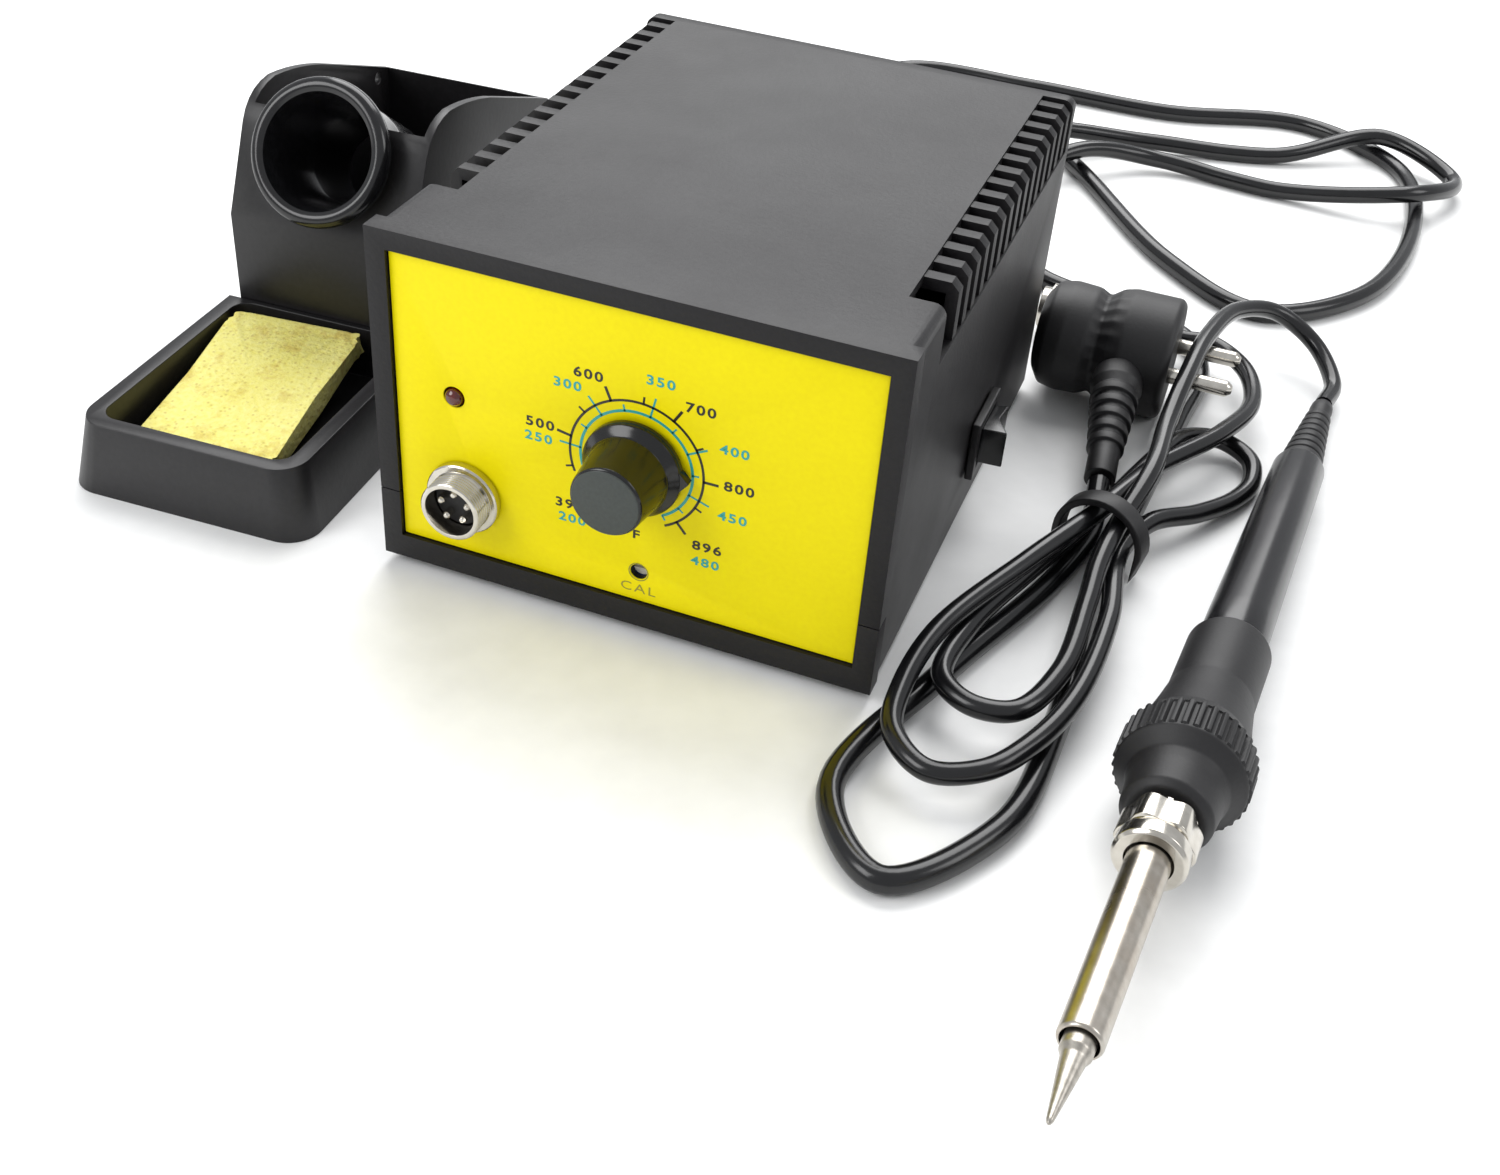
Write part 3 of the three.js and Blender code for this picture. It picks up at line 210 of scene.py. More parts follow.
# %% Metals
def heat_tint(tree, place, base):
    """Carries the base colour to straw, then to grey, by noise in bands round the barrel."""
    stain = add(tree, "ShaderNodeTexNoise", _Vector=place, _Scale=55.0, _Detail=6.0, _Roughness=0.7)
    mix = add(tree, "ShaderNodeMix", {"data_type": "RGBA"}, _0=spread(tree, stain.outputs[0], -0.35, 0.75))
    tree.links.new(base, mix.inputs[6])
    mix.inputs[7].default_value = colour("#8d7355")
    return mix.outputs[2]


nickel = finish_for("nickel plate", 3.0, 0.008, "#b9b4aa", "#d8d4cc", (0.12, 0.26), 1.0)
barrel_steel = finish_for("stainless barrel, heat stained", 2.4, 0.01, "#a8a49c", "#cac6be", (0.20, 0.36),
                          1.0, heat_tint)
tip_iron = finish_for("iron plated tip", 1.4, 0.02, "#8f8a82", "#c3beb5", (0.26, 0.44), 1.0)
zinc_steel = finish_for("zinc plated steel", 1.6, 0.01, "#8f9092", "#b6b7b8", (0.28, 0.42), 1.0)
copper_wire = finish_for("enamelled copper", 0.8, 0.05, "#84371a", "#b4552a", (0.3, 0.42), 0.6)
print("metals made")

# %% [markdown]
# The front label is printed polyester: lemon yellow ink under a satin film.
# Black, blue and faint grey inks sit on it.

# %% Label, inks and small finishes
def black_behind(tree, place, base):
    """Yellow on the front face only: the plate behind the film is black plastic."""
    depth = add(tree, "ShaderNodeSeparateXYZ", _0=place).outputs["Y"]
    front = SHIFT[1] + 1.5 * MM
    behind = add(tree, "ShaderNodeMapRange", _0=depth, _1=front, _2=front + 0.05 * MM)
    mix = add(tree, "ShaderNodeMix", {"data_type": "RGBA"}, _0=behind.outputs[0])
    tree.links.new(base, mix.inputs[6])
    mix.inputs[7].default_value = colour("#161517")
    return mix.outputs[2]


label_yellow = finish_for("printed yellow overlay", 1.4, 0.012, "#eedb00", "#f4e400", (0.34, 0.44), 0.0,
                          black_behind, Specular_IOR_Level=0.16)
ink_black = finish_for("black printing ink", 0.8, 0.004, "#15140c", "#24220f", (0.34, 0.44))
ink_blue = finish_for("blue printing ink", 0.8, 0.004, "#1b9a97", "#2fa89f", (0.34, 0.44))
ink_faint = finish_for("faint grey printing ink", 0.8, 0.004, "#8c8420", "#9a9228", (0.36, 0.46))
lens_red = finish_for("clear red lens", 2.0, 0.004, "#3a0705", "#641009", (0.06, 0.14), Coat_Weight=0.6)
rotor_white = finish_for("trimmer rotor", 0.6, 0.01, "#cfcabb", "#e6e2d6", (0.4, 0.5))
trimmer_blue = finish_for("trimmer case", 0.9, 0.01, "#23376f", "#2f4a92", (0.36, 0.5))
board_green = finish_for("solder mask", 1.6, 0.01, "#17552f", "#23743f", (0.26, 0.4))
fuse_ceramic = finish_for("unglazed ceramic", 0.8, 0.02, "#d8d3c6", "#ece8de", (0.55, 0.7))
print("label and small finishes made")

# %% [markdown]
# The sponge is damp cellulose. It is pale yellow, its open pores are drawn as darker spots of painted shade,
# and it is browned where a hot tip was wiped.

# %% Sponge finish
def scorch_and_pore_shade(tree, place, base):
    """Brown scorch marks where noise is high, and painted shade in the pores: darker spots from Voronoi
    cells.
    """
    stain = add(tree, "ShaderNodeTexNoise", _Vector=place, _Scale=110.0, _Detail=7.0, _Roughness=0.72)
    amount = add(tree, "ShaderNodeMapRange", _0=stain.outputs[0], _1=0.51, _2=0.72, _3=0.0, _4=0.7)
    mix = add(tree, "ShaderNodeMix", {"data_type": "RGBA"}, _0=amount.outputs[0])
    tree.links.new(base, mix.inputs[6])
    mix.inputs[7].default_value = colour("#c29a30")
    # Painted shade: the pores are darker spots of colour that stand for the shade inside the holes.
    pores = add(tree, "ShaderNodeTexVoronoi", _Vector=place, _Scale=1000 / 1.8)
    hole = add(tree, "ShaderNodeMapRange", _0=pores.outputs[0], _1=0.0, _2=0.32, _3=0.55, _4=0.0)
    dark = add(tree, "ShaderNodeMix", {"data_type": "RGBA"}, _0=hole.outputs[0])
    tree.links.new(mix.outputs[2], dark.inputs[6])
    dark.inputs[7].default_value = colour("#a9872f")
    return dark.outputs[2]


sponge_cellulose = finish_for("damp cellulose sponge", 1.3, 0.7, "#ebe06c", "#f8f19c", (0.86, 0.98), 0.0,
                              scorch_and_pore_shade)

# %% [markdown]
# ## Cords
# A cord is a smooth line through a list of points, with a round section. It rests on the bench or on another
# cord, and its line never dips below its own radius. The iron cord's list started as typed points. A separate
# program relaxed them clear of the other pieces, and about half are still as it gave them, or within 1 mm.

# %% The line of a cord
def smooth_line(points, radius, per=12):
    """Centripetal Catmull-Rom: each span is blended from its four points by the square root of their
    distances. Heights are kept at the radius or more."""
    p = np.asarray(points, float)
    p = np.vstack([2 * p[0] - p[1], p, 2 * p[-1] - p[-2]])
    a, b, c, d = p[:-3], p[1:-2], p[2:-1], p[3:]
    gap = lambda u, v: np.sqrt(np.linalg.norm(u - v, axis=1))[:, None, None]
    t1 = gap(a, b)
    t2 = t1 + gap(b, c)
    t3 = t2 + gap(c, d)
    t = t1 + (t2 - t1) * (np.arange(per) / per)[None, :, None]
    a, b, c, d = (v[:, None, :] for v in (a, b, c, d))
    ab = (t1 - t) / t1 * a + t / t1 * b
    bc = (t2 - t) / (t2 - t1) * b + (t - t1) / (t2 - t1) * c
    cd = (t3 - t) / (t3 - t2) * c + (t - t2) / (t3 - t2) * d
    first = (t2 - t) / t2 * ab + t / t2 * bc
    second = (t3 - t) / (t3 - t1) * bc + (t - t1) / (t3 - t1) * cd
    line = ((t2 - t) / (t2 - t1) * first + (t - t1) / (t2 - t1) * second).reshape(-1, 3)
    line = np.vstack([line, p[-2]])
    line[:, 2] = np.maximum(line[:, 2], radius + 0.1)
    return line


def cord_piece(name, node, points, radius, material, body):
    """One open spline with a round section. Returns the piece, its length in metres and its first point."""
    line = metres(smooth_line(points, radius))
    curve = bpy.data.curves.new(name, "CURVE")
    curve.dimensions = "3D"
    curve.bevel_depth = radius * MM
    curve.bevel_resolution = 5
    curve.use_fill_caps = True
    spline = curve.splines.new("POLY")
    spline.points.add(len(line) - 1)
    spline.points.foreach_set("co", np.hstack([line, np.ones((len(line), 1))]).ravel())
    spline.use_smooth = True
    piece = bpy.data.objects.new(name, curve)
    bpy.context.scene.collection.objects.link(piece)
    curve.materials.append(material)
    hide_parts(node)
    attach(piece, body)
    return piece, float(np.linalg.norm(np.diff(line, axis=0), axis=1).sum()), line[0]


# %% [markdown]
# The mains lead leaves the gland at the rear, lies in two flat loops behind the unit, comes forward on its
# right, passes under the tie, folds back in front and ends in the plug.

# %% Mains lead
MAINS_RADIUS = 3.2
MAINS_ROUTE = [
    (-30, 190.6, 24), (-30, 206, 23.4), (-33, 246, 5), (-50, 300, 3.3), (-62, 352, 3.3),
    (-42, 398, 3.3), (10, 404, 3.3), (68, 406, 3.3), (122, 423, 3.3), (162, 396, 3.3),
    (172, 340, 3.3), (158, 272, 3.3), (126, 243, 3.3), (92, 266, 3.3), (44, 332, 3.3),
    (4, 374, 3.3), (-34, 380, 3.3), (-44, 344, 3.3), (-14, 318, 3.3), (24, 342, 10.4),
    (66, 366, 5), (116, 382, 3.6), (154, 406, 10.6), (184, 388, 5.5), (170, 354, 10.8),
    (120, 348, 3.4), (74, 350, 5), (46, 330, 10.8), (26, 296, 4), (32, 258, 3.3),
    (54, 232, 3.3), (82, 223, 3.3), (106, 213, 3.3), (114.5, 192, 3.3), (113, 160, 3.3),
    (109.5, 112, 3.3), (106.4, 60, 3.3), (109, 8, 3.3), (105, -30, 3.3), (85, -55, 3.3),
    (67, -34, 3.3), (79, 14, 3.3), (95, 62, 3.3), (100, 90, 4), (98.3, 107.6, 8.6),
]
mains, mains_length, _ = cord_piece("mains_lead", "mains_cord", MAINS_ROUTE, MAINS_RADIUS,
                                    pvc_sheath, "station")
print("mains lead", round(mains_length, 3))

# %% [markdown]
# The iron's cord is thinner. It arches over the plug's pins, passes the tie four times in two small loops and
# ends in a round connector behind the plug.

# %% Iron cord
IRON_CORD_RADIUS = 2.7
IRON_ROUTE = [
    (153.1, 184.9, 6.3), (154.6, 200, 6), (146.3, 213.5, 11.2), (133.1, 215.7, 17.8), (120.9, 201.6, 22.6),
    (114.9, 177.4, 24.4), (112.8, 152.7, 23.8), (111.6, 128, 20.4), (111.8, 102.4, 19.6), (107.6, 77.3, 15.2),
    (106.4, 61, 13.7), (106.8, 46, 12), (106.3, 19.2, 10.3), (99.6, 1.8, 9.8), (89.4, -0.3, 9.6),
    (80.8, 6.4, 9.6), (81.7, 28.3, 9.6), (89.8, 55.7, 9.7), (98.7, 82.7, 10.2), (103.9, 98.5, 10.3),
    (107.2, 112.8, 9.6), (112.4, 131, 9.2), (117.4, 144.4, 7.6), (127, 150.8, 5.4), (136, 146.4, 3.9),
    (138.2, 135.6, 3.1), (135, 124, 3.4), (126.4, 109, 5.5), (115.2, 93.8, 8.8), (110, 75.8, 9),
    (113, 45.7, 9.6), (111.6, 12.5, 10), (106, -7, 9.8), (97.6, -20, 9.2), (86, -24.6, 8.6),
    (75.6, -16.6, 9.4), (73.2, -2, 10.8), (76, 18, 13.9), (89.4, 51.8, 15.6), (101, 80.5, 15.6),
    (106.8, 97.5, 15.3), (111.4, 112, 14.4), (126.4, 143, 12.4), (132.4, 168, 10.2), (127.5, 189, 9.8),
    (115.5, 200.4, 9.9), (107, 201, 9), (100.6, 201, 8.9),
]
iron_lead, iron_length, iron_start = cord_piece("iron_lead", "iron_cord", IRON_ROUTE, IRON_CORD_RADIUS,
                                                pvc_sheath, "iron")
print("iron lead", round(iron_length, 3))

# %% [markdown]
# ## Softened pieces
# A moulded piece has small round edges, which catch the light. The solid model's piece is copied, its doubled
# points are merged, and a Bevel rounds what is sharp.

# %% Softened copies
def softened(node, material, width=0.4, segments=2, body=None, angle=32):
    """A merged copy of a solid piece with rounded edges, standing for it."""
    mesh = nodes[node].data.copy()
    work = bmesh.new()
    work.from_mesh(mesh)
    bmesh.ops.remove_doubles(work, verts=work.verts, dist=2e-6)
    bmesh.ops.dissolve_limit(work, angle_limit=math.radians(0.6), verts=work.verts, edges=work.edges)
    work.to_mesh(mesh)
    work.free()
    mesh.materials.clear()
    mesh.materials.append(material)
    piece = bpy.data.objects.new("soft_" + node, mesh)
    bpy.context.scene.collection.objects.link(piece)
    mesh.polygons.foreach_set("use_smooth", np.ones(len(mesh.polygons), bool))
    bevel = piece.modifiers.new("edges", "BEVEL")
    bevel.width = width * MM
    bevel.segments = segments
    bevel.limit_method = "ANGLE"
    bevel.angle_limit = math.radians(angle)
    bevel.harden_normals = True
    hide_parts(node)
    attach(piece, body or nodes[node]["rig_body"])
    return piece


SOFT = [
    ("base_tray", case_abs, 0.6, "housing"),
    ("top_cover", case_abs, 0.5, "housing"),
    ("rear_panel", case_abs, 0.3, "housing"),
    ("front_panel", label_yellow, 0.15, "panel_yellow"),
    ("stand_base", stand_abs, 2.0, "housing"),
    ("stand_holder", stand_abs, 0.7, "housing"),
    ("switch_body", stand_abs, 0.4, "housing"),
    ("switch_rocker", collar_phenolic, 0.4, "black_gloss"),
    ("cord_tie", soft_rubber, 0.4, "rubber_black"),
]
for node, material, width, slot in SOFT:
    softened(node, material, width, 3)
print("softened", len(SOFT))

# %% [markdown]
# ## Turned pieces
# Barrels, knobs, collars and plugs are turned or moulded round. A profile of radius and place along the axis
# is carried round that axis, with its corners rounded first. A wave in the radius makes knurls.

# %% Turning
def eased(profile, reach=0.35, steps=4):
    """Each corner becomes a short parabola between points at most reach millimetres from it."""
    p = np.asarray(profile, float)
    out = [p[:1]]
    s = np.linspace(0, 1, steps)[:, None]
    for before, corner, after in zip(p[:-2], p[1:-1], p[2:]):
        to_before, to_after = before - corner, after - corner
        one, two = np.linalg.norm(to_before), np.linalg.norm(to_after)
        start = corner + to_before / one * min(reach, one * 0.45)
        end = corner + to_after / two * min(reach, two * 0.45)
        out.append((1 - s) ** 2 * start + 2 * s * (1 - s) * corner + s ** 2 * end)
    out.append(p[-1:])
    return np.vstack(out)


def axes_for(direction, hint=(0, 0, 1)):
    """Two directions square to a given one."""
    d = np.asarray(direction, float)
    d = d / np.linalg.norm(d)
    side = np.cross(hint, d)
    side = side / np.linalg.norm(side)
    return side, np.cross(d, side), d


def turned(name, profile, origin, direction, material, replaced, body,
           sides=72, reach=0.35, wave=None, hint=(0, 0, 1)):
    """x = r(s) cos t, y = r(s) sin t along the axis, closed by fans at both ends on the axis.
    wave(t, s) adds to the radius."""
    p = eased(profile, reach)
    t = np.arange(sides) / sides * 2 * np.pi
    r, s = p[:, 0][:, None], p[:, 1][:, None]
    radius = r + (wave(t[None, :], s) * (r > 0.01) if wave else 0 * t[None, :])
    side, over, along = axes_for(direction, hint)
    grid = (np.asarray(origin, float) + radius[..., None] * (np.cos(t)[None, :, None] * side
            + np.sin(t)[None, :, None] * over) + s[..., None] * along)
    points = metres(grid.reshape(-1, 3))
    i, j = np.meshgrid(np.arange(len(p) - 1), np.arange(sides), indexing="ij")
    k = (j + 1) % sides
    quads = np.stack([i * sides + j, i * sides + k, (i + 1) * sides + k, (i + 1) * sides + j],
                     -1).reshape(-1, 4)
    mesh = bpy.data.meshes.new(name)
    mesh.from_pydata(points.tolist(), [], quads.tolist())
    work = bmesh.new()
    work.from_mesh(mesh)
    bmesh.ops.remove_doubles(work, verts=work.verts, dist=1e-6)
    bmesh.ops.recalc_face_normals(work, faces=work.faces)
    work.to_mesh(mesh)
    work.free()
    return finished(name, mesh, material, replaced, body)


def finished(name, mesh, material, replaced, body, angle=35):
    """Links a mesh as a piece that stands for solid nodes, smooth but for its sharp edges."""
    mesh.materials.append(material)
    mesh.polygons.foreach_set("use_smooth", np.ones(len(mesh.polygons), bool))
    mesh.set_sharp_from_angle(angle=math.radians(angle))
    piece = bpy.data.objects.new(name, mesh)
    bpy.context.scene.collection.objects.link(piece)
    if replaced:
        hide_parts(*replaced)
    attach(piece, body)
    return piece


# %% [markdown]
# ### The dial knob
# A plain round cap on a wider skirt, with a moulded pointer. The cap's flat face is a separate disc.

# %% Knob
PANEL_Y = 1.2
INTO_PANEL = (0, 1, 0)
DIAL = (2.8, PANEL_Y, 49.6)
KNOB = [(0, -17.3), (8.4, -17.3), (8.9, -16.8), (10.1, -5.2), (11.2, -4.2), (12.4, -3.2), (12.4, -0.9),
        (0, -0.9)]
turned("knob", KNOB, DIAL, INTO_PANEL, knob_cap, ["temp_knob"], "dial", 96)
FACE = [(0, -17.45), (8.2, -17.45), (8.4, -17.2), (0, -17.2)]
turned("knob_face", FACE, DIAL, INTO_PANEL, knob_face, [], "dial", 96, 0.1)


def slab(name, outline, low, high, material, body, replaced=(), bevel=0.15):
    """A flat outline in x and z, given thickness along y: its outline carried from low to high and capped."""
    n = len(outline)
    o = np.asarray(outline, float)
    points = np.vstack([np.column_stack([o[:, 0], np.full(n, y), o[:, 1]]) for y in (low, high)])
    faces = [list(range(n)), list(range(2 * n - 1, n - 1, -1))]
    faces += [[i, (i + 1) % n, n + (i + 1) % n, n + i] for i in range(n)]
    mesh = bpy.data.meshes.new(name)
    mesh.from_pydata(metres(points).tolist(), [], faces)
    work = bmesh.new()
    work.from_mesh(mesh)
    bmesh.ops.recalc_face_normals(work, faces=work.faces)
    work.to_mesh(mesh)
    work.free()
    piece = finished(name, mesh, material, list(replaced), body)
    if bevel:
        edge = piece.modifiers.new("edges", "BEVEL")
        edge.width = bevel * MM
        edge.segments = 2
    return piece


POINTER_TURN = math.radians(2)
arrow = np.array([(8, -7.3), (14.4, 0), (8, 7.3)])
spin = np.array([[math.cos(POINTER_TURN), math.sin(POINTER_TURN)],
                 [-math.sin(POINTER_TURN), math.cos(POINTER_TURN)]])
slab("knob_pointer", arrow @ spin + np.array([DIAL[0], DIAL[2]]), PANEL_Y - 3.2, PANEL_Y - 0.9, knob_cap,
     "dial")
print("knob made")

# %% [markdown]
# ### The iron's socket
# A nickel barrel with a fine thread, a flange on the label and a black insert with five contacts.

# %% Socket
SOCKET = (-42.2, PANEL_Y, 27)
thread = [(7.6, -8.5)] + [q for k in range(6) for q in ((8.0, -8.1 + k * 0.85), (7.62, -7.7 + k * 0.85))]
flange = [(8, -2.9), (8, -2.6), (9.3, -2.6), (9.7, -2.2), (9.7, -0.3), (8, -0.3), (8, 11), (6.6, 11)]
SHELL = [(6.6, 11), (6.6, -8.5)] + thread + flange
CONTACTS = 5
CONTACT_CIRCLE = 3.7
CONTACT = [(0, -6.8), (0.6, -6.6), (1, -6), (1, -3.2), (0, -3.2)]
turned("socket_barrel", SHELL, SOCKET, INTO_PANEL, nickel, ["socket_shell"], "station", 96, 0.12)
turned("socket_core", [(0, 10), (0, -3.5), (6.3, -3.5), (6.3, 10), (0, 10)], SOCKET, INTO_PANEL, soft_rubber,
       ["socket_insert"], "station", 72, 0.2)
for i in range(CONTACTS):
    a = math.pi / 2 + (i + 0.5) * 2 * math.pi / CONTACTS
    spot = (SOCKET[0] + CONTACT_CIRCLE * math.cos(a), PANEL_Y, SOCKET[2] - CONTACT_CIRCLE * math.sin(a))
    turned(f"contact_{i + 1}", CONTACT, spot, INTO_PANEL, nickel, [f"socket_pin_{i + 1}"], "station",
           20, 0.1)
print("socket made")

# %% [markdown]
# ### Label printing
# Two printed scales run round the knob: black for one unit and blue for the other, with ticks and numbers.
# Each printed mark is a very thin slab on the label. Most angles of the ticks and the places of the numbers
# are values that a separate program gave, some of them shifted a little.

# %% Dial scale
INK_FRONT = PANEL_Y - 0.06
INK_BACK = PANEL_Y - 0.01


def arc_strip(radius, width, start, end, steps=72):
    """The outline of a ring's part: out along one radius and back along the other."""
    t = np.radians(np.linspace(start, end, steps))
    ring = np.column_stack([np.cos(t), np.sin(t)])
    return np.vstack([ring * (radius + width / 2), ring[::-1] * (radius - width / 2)]) + (DIAL[0], DIAL[2])


def tick(angle, inner, outer, width):
    """A short radial bar."""
    t = math.radians(angle)
    out, across = np.array([math.cos(t), math.sin(t)]), np.array([-math.sin(t), math.cos(t)]) * width / 2
    return np.array([out * inner - across, out * outer - across, out * outer + across,
                     out * inner + across]) + (DIAL[0], DIAL[2])


def printed(name, outline, ink):
    """A very thin slab of ink on the label."""
    return slab(name, outline, INK_FRONT, INK_BACK, ink, "station", bevel=0)


printed("black_arc", arc_strip(16.9, 0.62, -62.5, 202.7), ink_black)
printed("blue_arc", arc_strip(14.2, 0.7, -60, 228), ink_blue)
BLACK_MARKS = {"392": 222, "500": 169.5, "600": 113.5, "700": 58.4, "800": 0.7, "896": -50.3}
BLUE_MARKS = {"200": 228, "250": 177.5, "300": 129.2, "350": 77.3, "400": 27.5, "450": -18.5, "480": -60}
for word, angle in BLACK_MARKS.items():
    printed("black_tick_" + word, tick(angle, 16.7, 20.6, 0.7), ink_black)
for word, angle in BLUE_MARKS.items():
    reach = 15.6 if word in ("200", "480") else 19.6
    printed("blue_tick_" + word, tick(angle, 14.0, reach, 0.5), ink_blue)
blue_angles = sorted(BLUE_MARKS.values())
for k, (low, high) in enumerate(zip(blue_angles, blue_angles[1:])):
    printed(f"fine_tick_{k}", tick((low + high) / 2, 14.0, 15.8, 0.45), ink_blue)
for k in range(5):
    angle = 197.5 - k * 56
    printed(f"half_tick_{k}", tick(angle, 16.8, 18.8, 0.5), ink_black)

# %% Numbers and small legends
WIDEN = 1.22


def letters(word, x, z, height, ink, name, heavy=0.035):
    """Font outlines made a flat mesh, then stood up on the label."""
    text = bpy.data.curves.new(name, "FONT")
    text.body = word
    text.size = height / 0.7
    text.align_x = "CENTER"
    text.align_y = "CENTER"
    text.offset = heavy * height
    text.space_character = 1.22
    text.resolution_u = 3
    holder = bpy.data.objects.new(name + "_outline", text)
    bpy.context.scene.collection.objects.link(holder)
    bpy.context.view_layer.update()
    mesh = bpy.data.meshes.new_from_object(holder.evaluated_get(bpy.context.evaluated_depsgraph_get()))
    bpy.data.objects.remove(holder)
    flat = np.empty(len(mesh.vertices) * 3)
    mesh.vertices.foreach_get("co", flat)
    flat = flat.reshape(-1, 3)
    stood = np.column_stack([flat[:, 0] * WIDEN + x, np.full(len(flat), INK_FRONT), flat[:, 1] + z])
    mesh.vertices.foreach_set("co", metres(stood).ravel())
    mesh.materials.clear()
    return finished(name, mesh, ink, [], "station")


BLACK_NUMBERS = {"392": (-14.2, 32.9), "500": (-21.9, 53.7), "600": (-9.7, 70.4), "700": (18.0, 68.6),
                 "800": (28.4, 50.3), "896": (21.5, 31.4)}
BLUE_NUMBERS = {"200": (-13.4, 28.9), "250": (-22.3, 49.7), "300": (-14.9, 66.4), "350": (8.1, 73.1),
                "400": (26.7, 60.0), "450": (27.3, 41.8), "480": (21.3, 26.9)}
for word, (x, z) in BLACK_NUMBERS.items():
    letters(word, x, z, 2.5, ink_black, "black_" + word)
for word, (x, z) in BLUE_NUMBERS.items():
    letters(word, x, z, 2.4, ink_blue, "blue_" + word)
letters("F", 3.4, 29.6, 2.4, ink_black, "unit_f")
letters("CAL", 4.4, 13.6, 2.6, ink_faint, "legend_cal", 0.0)
print("printing made")

# %% [markdown]
# ### Lamp and trimmer
# The lamp is a small domed red lens. The trimmer sits behind a hole in the label with a printed ring.

# %% Lamp and trimmer
LAMP = [(0, -1.8), (1.3, -1.5), (2.2, -0.6), (2.5, 0.6), (2.5, 3), (0, 3)]
turned("lamp", LAMP, (-44.5, PANEL_Y, 54.5), INTO_PANEL, lens_red, ["led_lens"], "station", 48,
       0.4)
nodes["cal_trimmer"].data.materials.clear()
nodes["cal_trimmer"].data.materials.append(trimmer_blue)
nodes["cal_rotor"].data.materials.clear()
nodes["cal_rotor"].data.materials.append(rotor_white)
RING_T = np.linspace(0, 2 * np.pi, 49)[:-1]


def flat_ring(name, x, z, inner, outer, ink):
    """An annulus on the label: two circles joined by quads."""
    circle = np.column_stack([np.cos(RING_T), np.sin(RING_T)])
    flat = np.vstack([circle * inner, circle * outer]) + (x, z)
    points = np.column_stack([flat[:, 0], np.full(len(flat), INK_FRONT), flat[:, 1]])
    n = len(RING_T)
    faces = [[i, (i + 1) % n, n + (i + 1) % n, n + i] for i in range(n)]
    mesh = bpy.data.meshes.new(name)
    mesh.from_pydata(metres(points).tolist(), [], faces)
    return finished(name, mesh, ink, [], "station")


flat_ring("trimmer_ring", 4.4, 18.7, 2.35, 2.65, ink_faint)
print("lamp and trimmer made")

# %% [markdown]
# ### The stand's collar
# A wide-mouthed black socket that takes the iron's nose. It leans back, and its rim is rolled.

# %% Collar
STAND_TURN = 2.7


def in_stand(x, y, z):
    """A point in the stand's own frame, carried to the unit's frame by the stand's turn."""
    a = math.radians(STAND_TURN)
    return (-122.3 + x * math.cos(a) - y * math.sin(a), -7.3 + x * math.sin(a) + y * math.cos(a), z)


LEAN = math.radians(29)
collar_dir = np.array(in_stand(0, math.cos(LEAN), 0)) - np.array(in_stand(0, 0, 0))
collar_dir = (collar_dir[0], collar_dir[1], -math.sin(LEAN))
RIM_RADIUS = 20.9
COLLAR = [(16.5, 0.6), (17.9, -0.2), (19.5, 0.1), (20.6, 1.2), (RIM_RADIUS, 3), (20.3, 5.2), (18.3, 7.2),
          (16.6, 7.8), (16.6, 22), (14, 44), (11.6, 44), (12.4, 22), (14.9, 5), (16.5, 0.6)]
turned("collar", COLLAR, in_stand(0, 80.2, 71.2), collar_dir, collar_phenolic, ["stand_collar"], "stand",
       96, 0.8)
print("collar made")

# %% [markdown]
# ### The sponge
# A block of cellulose with ragged edges. A rounded block is worked out over two angles and pushed in and out
# by sums of sines, more at its edges. One end leans on the tray's rim.

# %% Sponge
def sponge_block(width, length, thick, across=150, along=90):
    """A superellipsoid: each coordinate is a signed power of cosines and sines, so the faces are flat and the
    edges round. Waves of several lengths push the surface."""
    power = lambda v, e: np.sign(v) * np.where(np.abs(v) < 1e-9, 0, np.abs(v)) ** e
    u = np.linspace(-np.pi, np.pi, across, endpoint=False)[None, :]
    v = np.linspace(-np.pi / 2, np.pi / 2, along)[:, None]
    e = 0.07
    x = width / 2 * power(np.cos(v), e) * power(np.cos(u), e)
    y = length / 2 * power(np.cos(v), e) * power(np.sin(u), e)
    z = thick / 2 * power(np.sin(v), e) * np.ones_like(u)
    rag = 0.35 * np.sin(0.9 * y + 1.7 * z) + 0.25 * np.sin(2.3 * y + 0.8 * z + 2)
    rag += 0.2 * np.sin(1.9 * x - 1.1 * z)
    lift = 0.18 * np.sin(0.35 * x + 0.5) * np.sin(0.28 * y) + 0.12 * np.sin(1.3 * x + 0.7 * y)
    x = x + rag * x / (width / 2) - 0.5
    y = y + 0.8 * rag * y / (length / 2)
    return np.stack([x, y, z + lift], -1)


TRAY_BACK = 77
grid = sponge_block(40, 60.2, 5.8)
rows, columns = grid.shape[:2]
tilt, twist = math.radians(8), math.radians(4 + STAND_TURN)
flat = grid.reshape(-1, 3)
flat = np.column_stack([flat[:, 0], flat[:, 1] * math.cos(tilt) - flat[:, 2] * math.sin(tilt),
                        flat[:, 1] * math.sin(tilt) + flat[:, 2] * math.cos(tilt)])
flat = np.column_stack([flat[:, 0] * math.cos(twist) - flat[:, 1] * math.sin(twist),
                        flat[:, 0] * math.sin(twist) + flat[:, 1] * math.cos(twist), flat[:, 2]])
flat = flat + np.array(in_stand(-4, TRAY_BACK - 60 / 2 - 2.5, 12.6))
i, j = np.meshgrid(np.arange(rows - 1), np.arange(columns), indexing="ij")
k = (j + 1) % columns
quads = np.stack([i * columns + j, i * columns + k, (i + 1) * columns + k, (i + 1) * columns + j],
                 -1).reshape(-1, 4)
mesh = bpy.data.meshes.new("sponge_block")
mesh.from_pydata(metres(flat).tolist(), [], quads.tolist())
work = bmesh.new()
work.from_mesh(mesh)
bmesh.ops.remove_doubles(work, verts=work.verts, dist=1e-6)
bmesh.ops.recalc_face_normals(work, faces=work.faces)
work.to_mesh(mesh)
work.free()
finished("sponge_block", mesh, sponge_cellulose, ["sponge"], "wiper", 60)
print("sponge made")

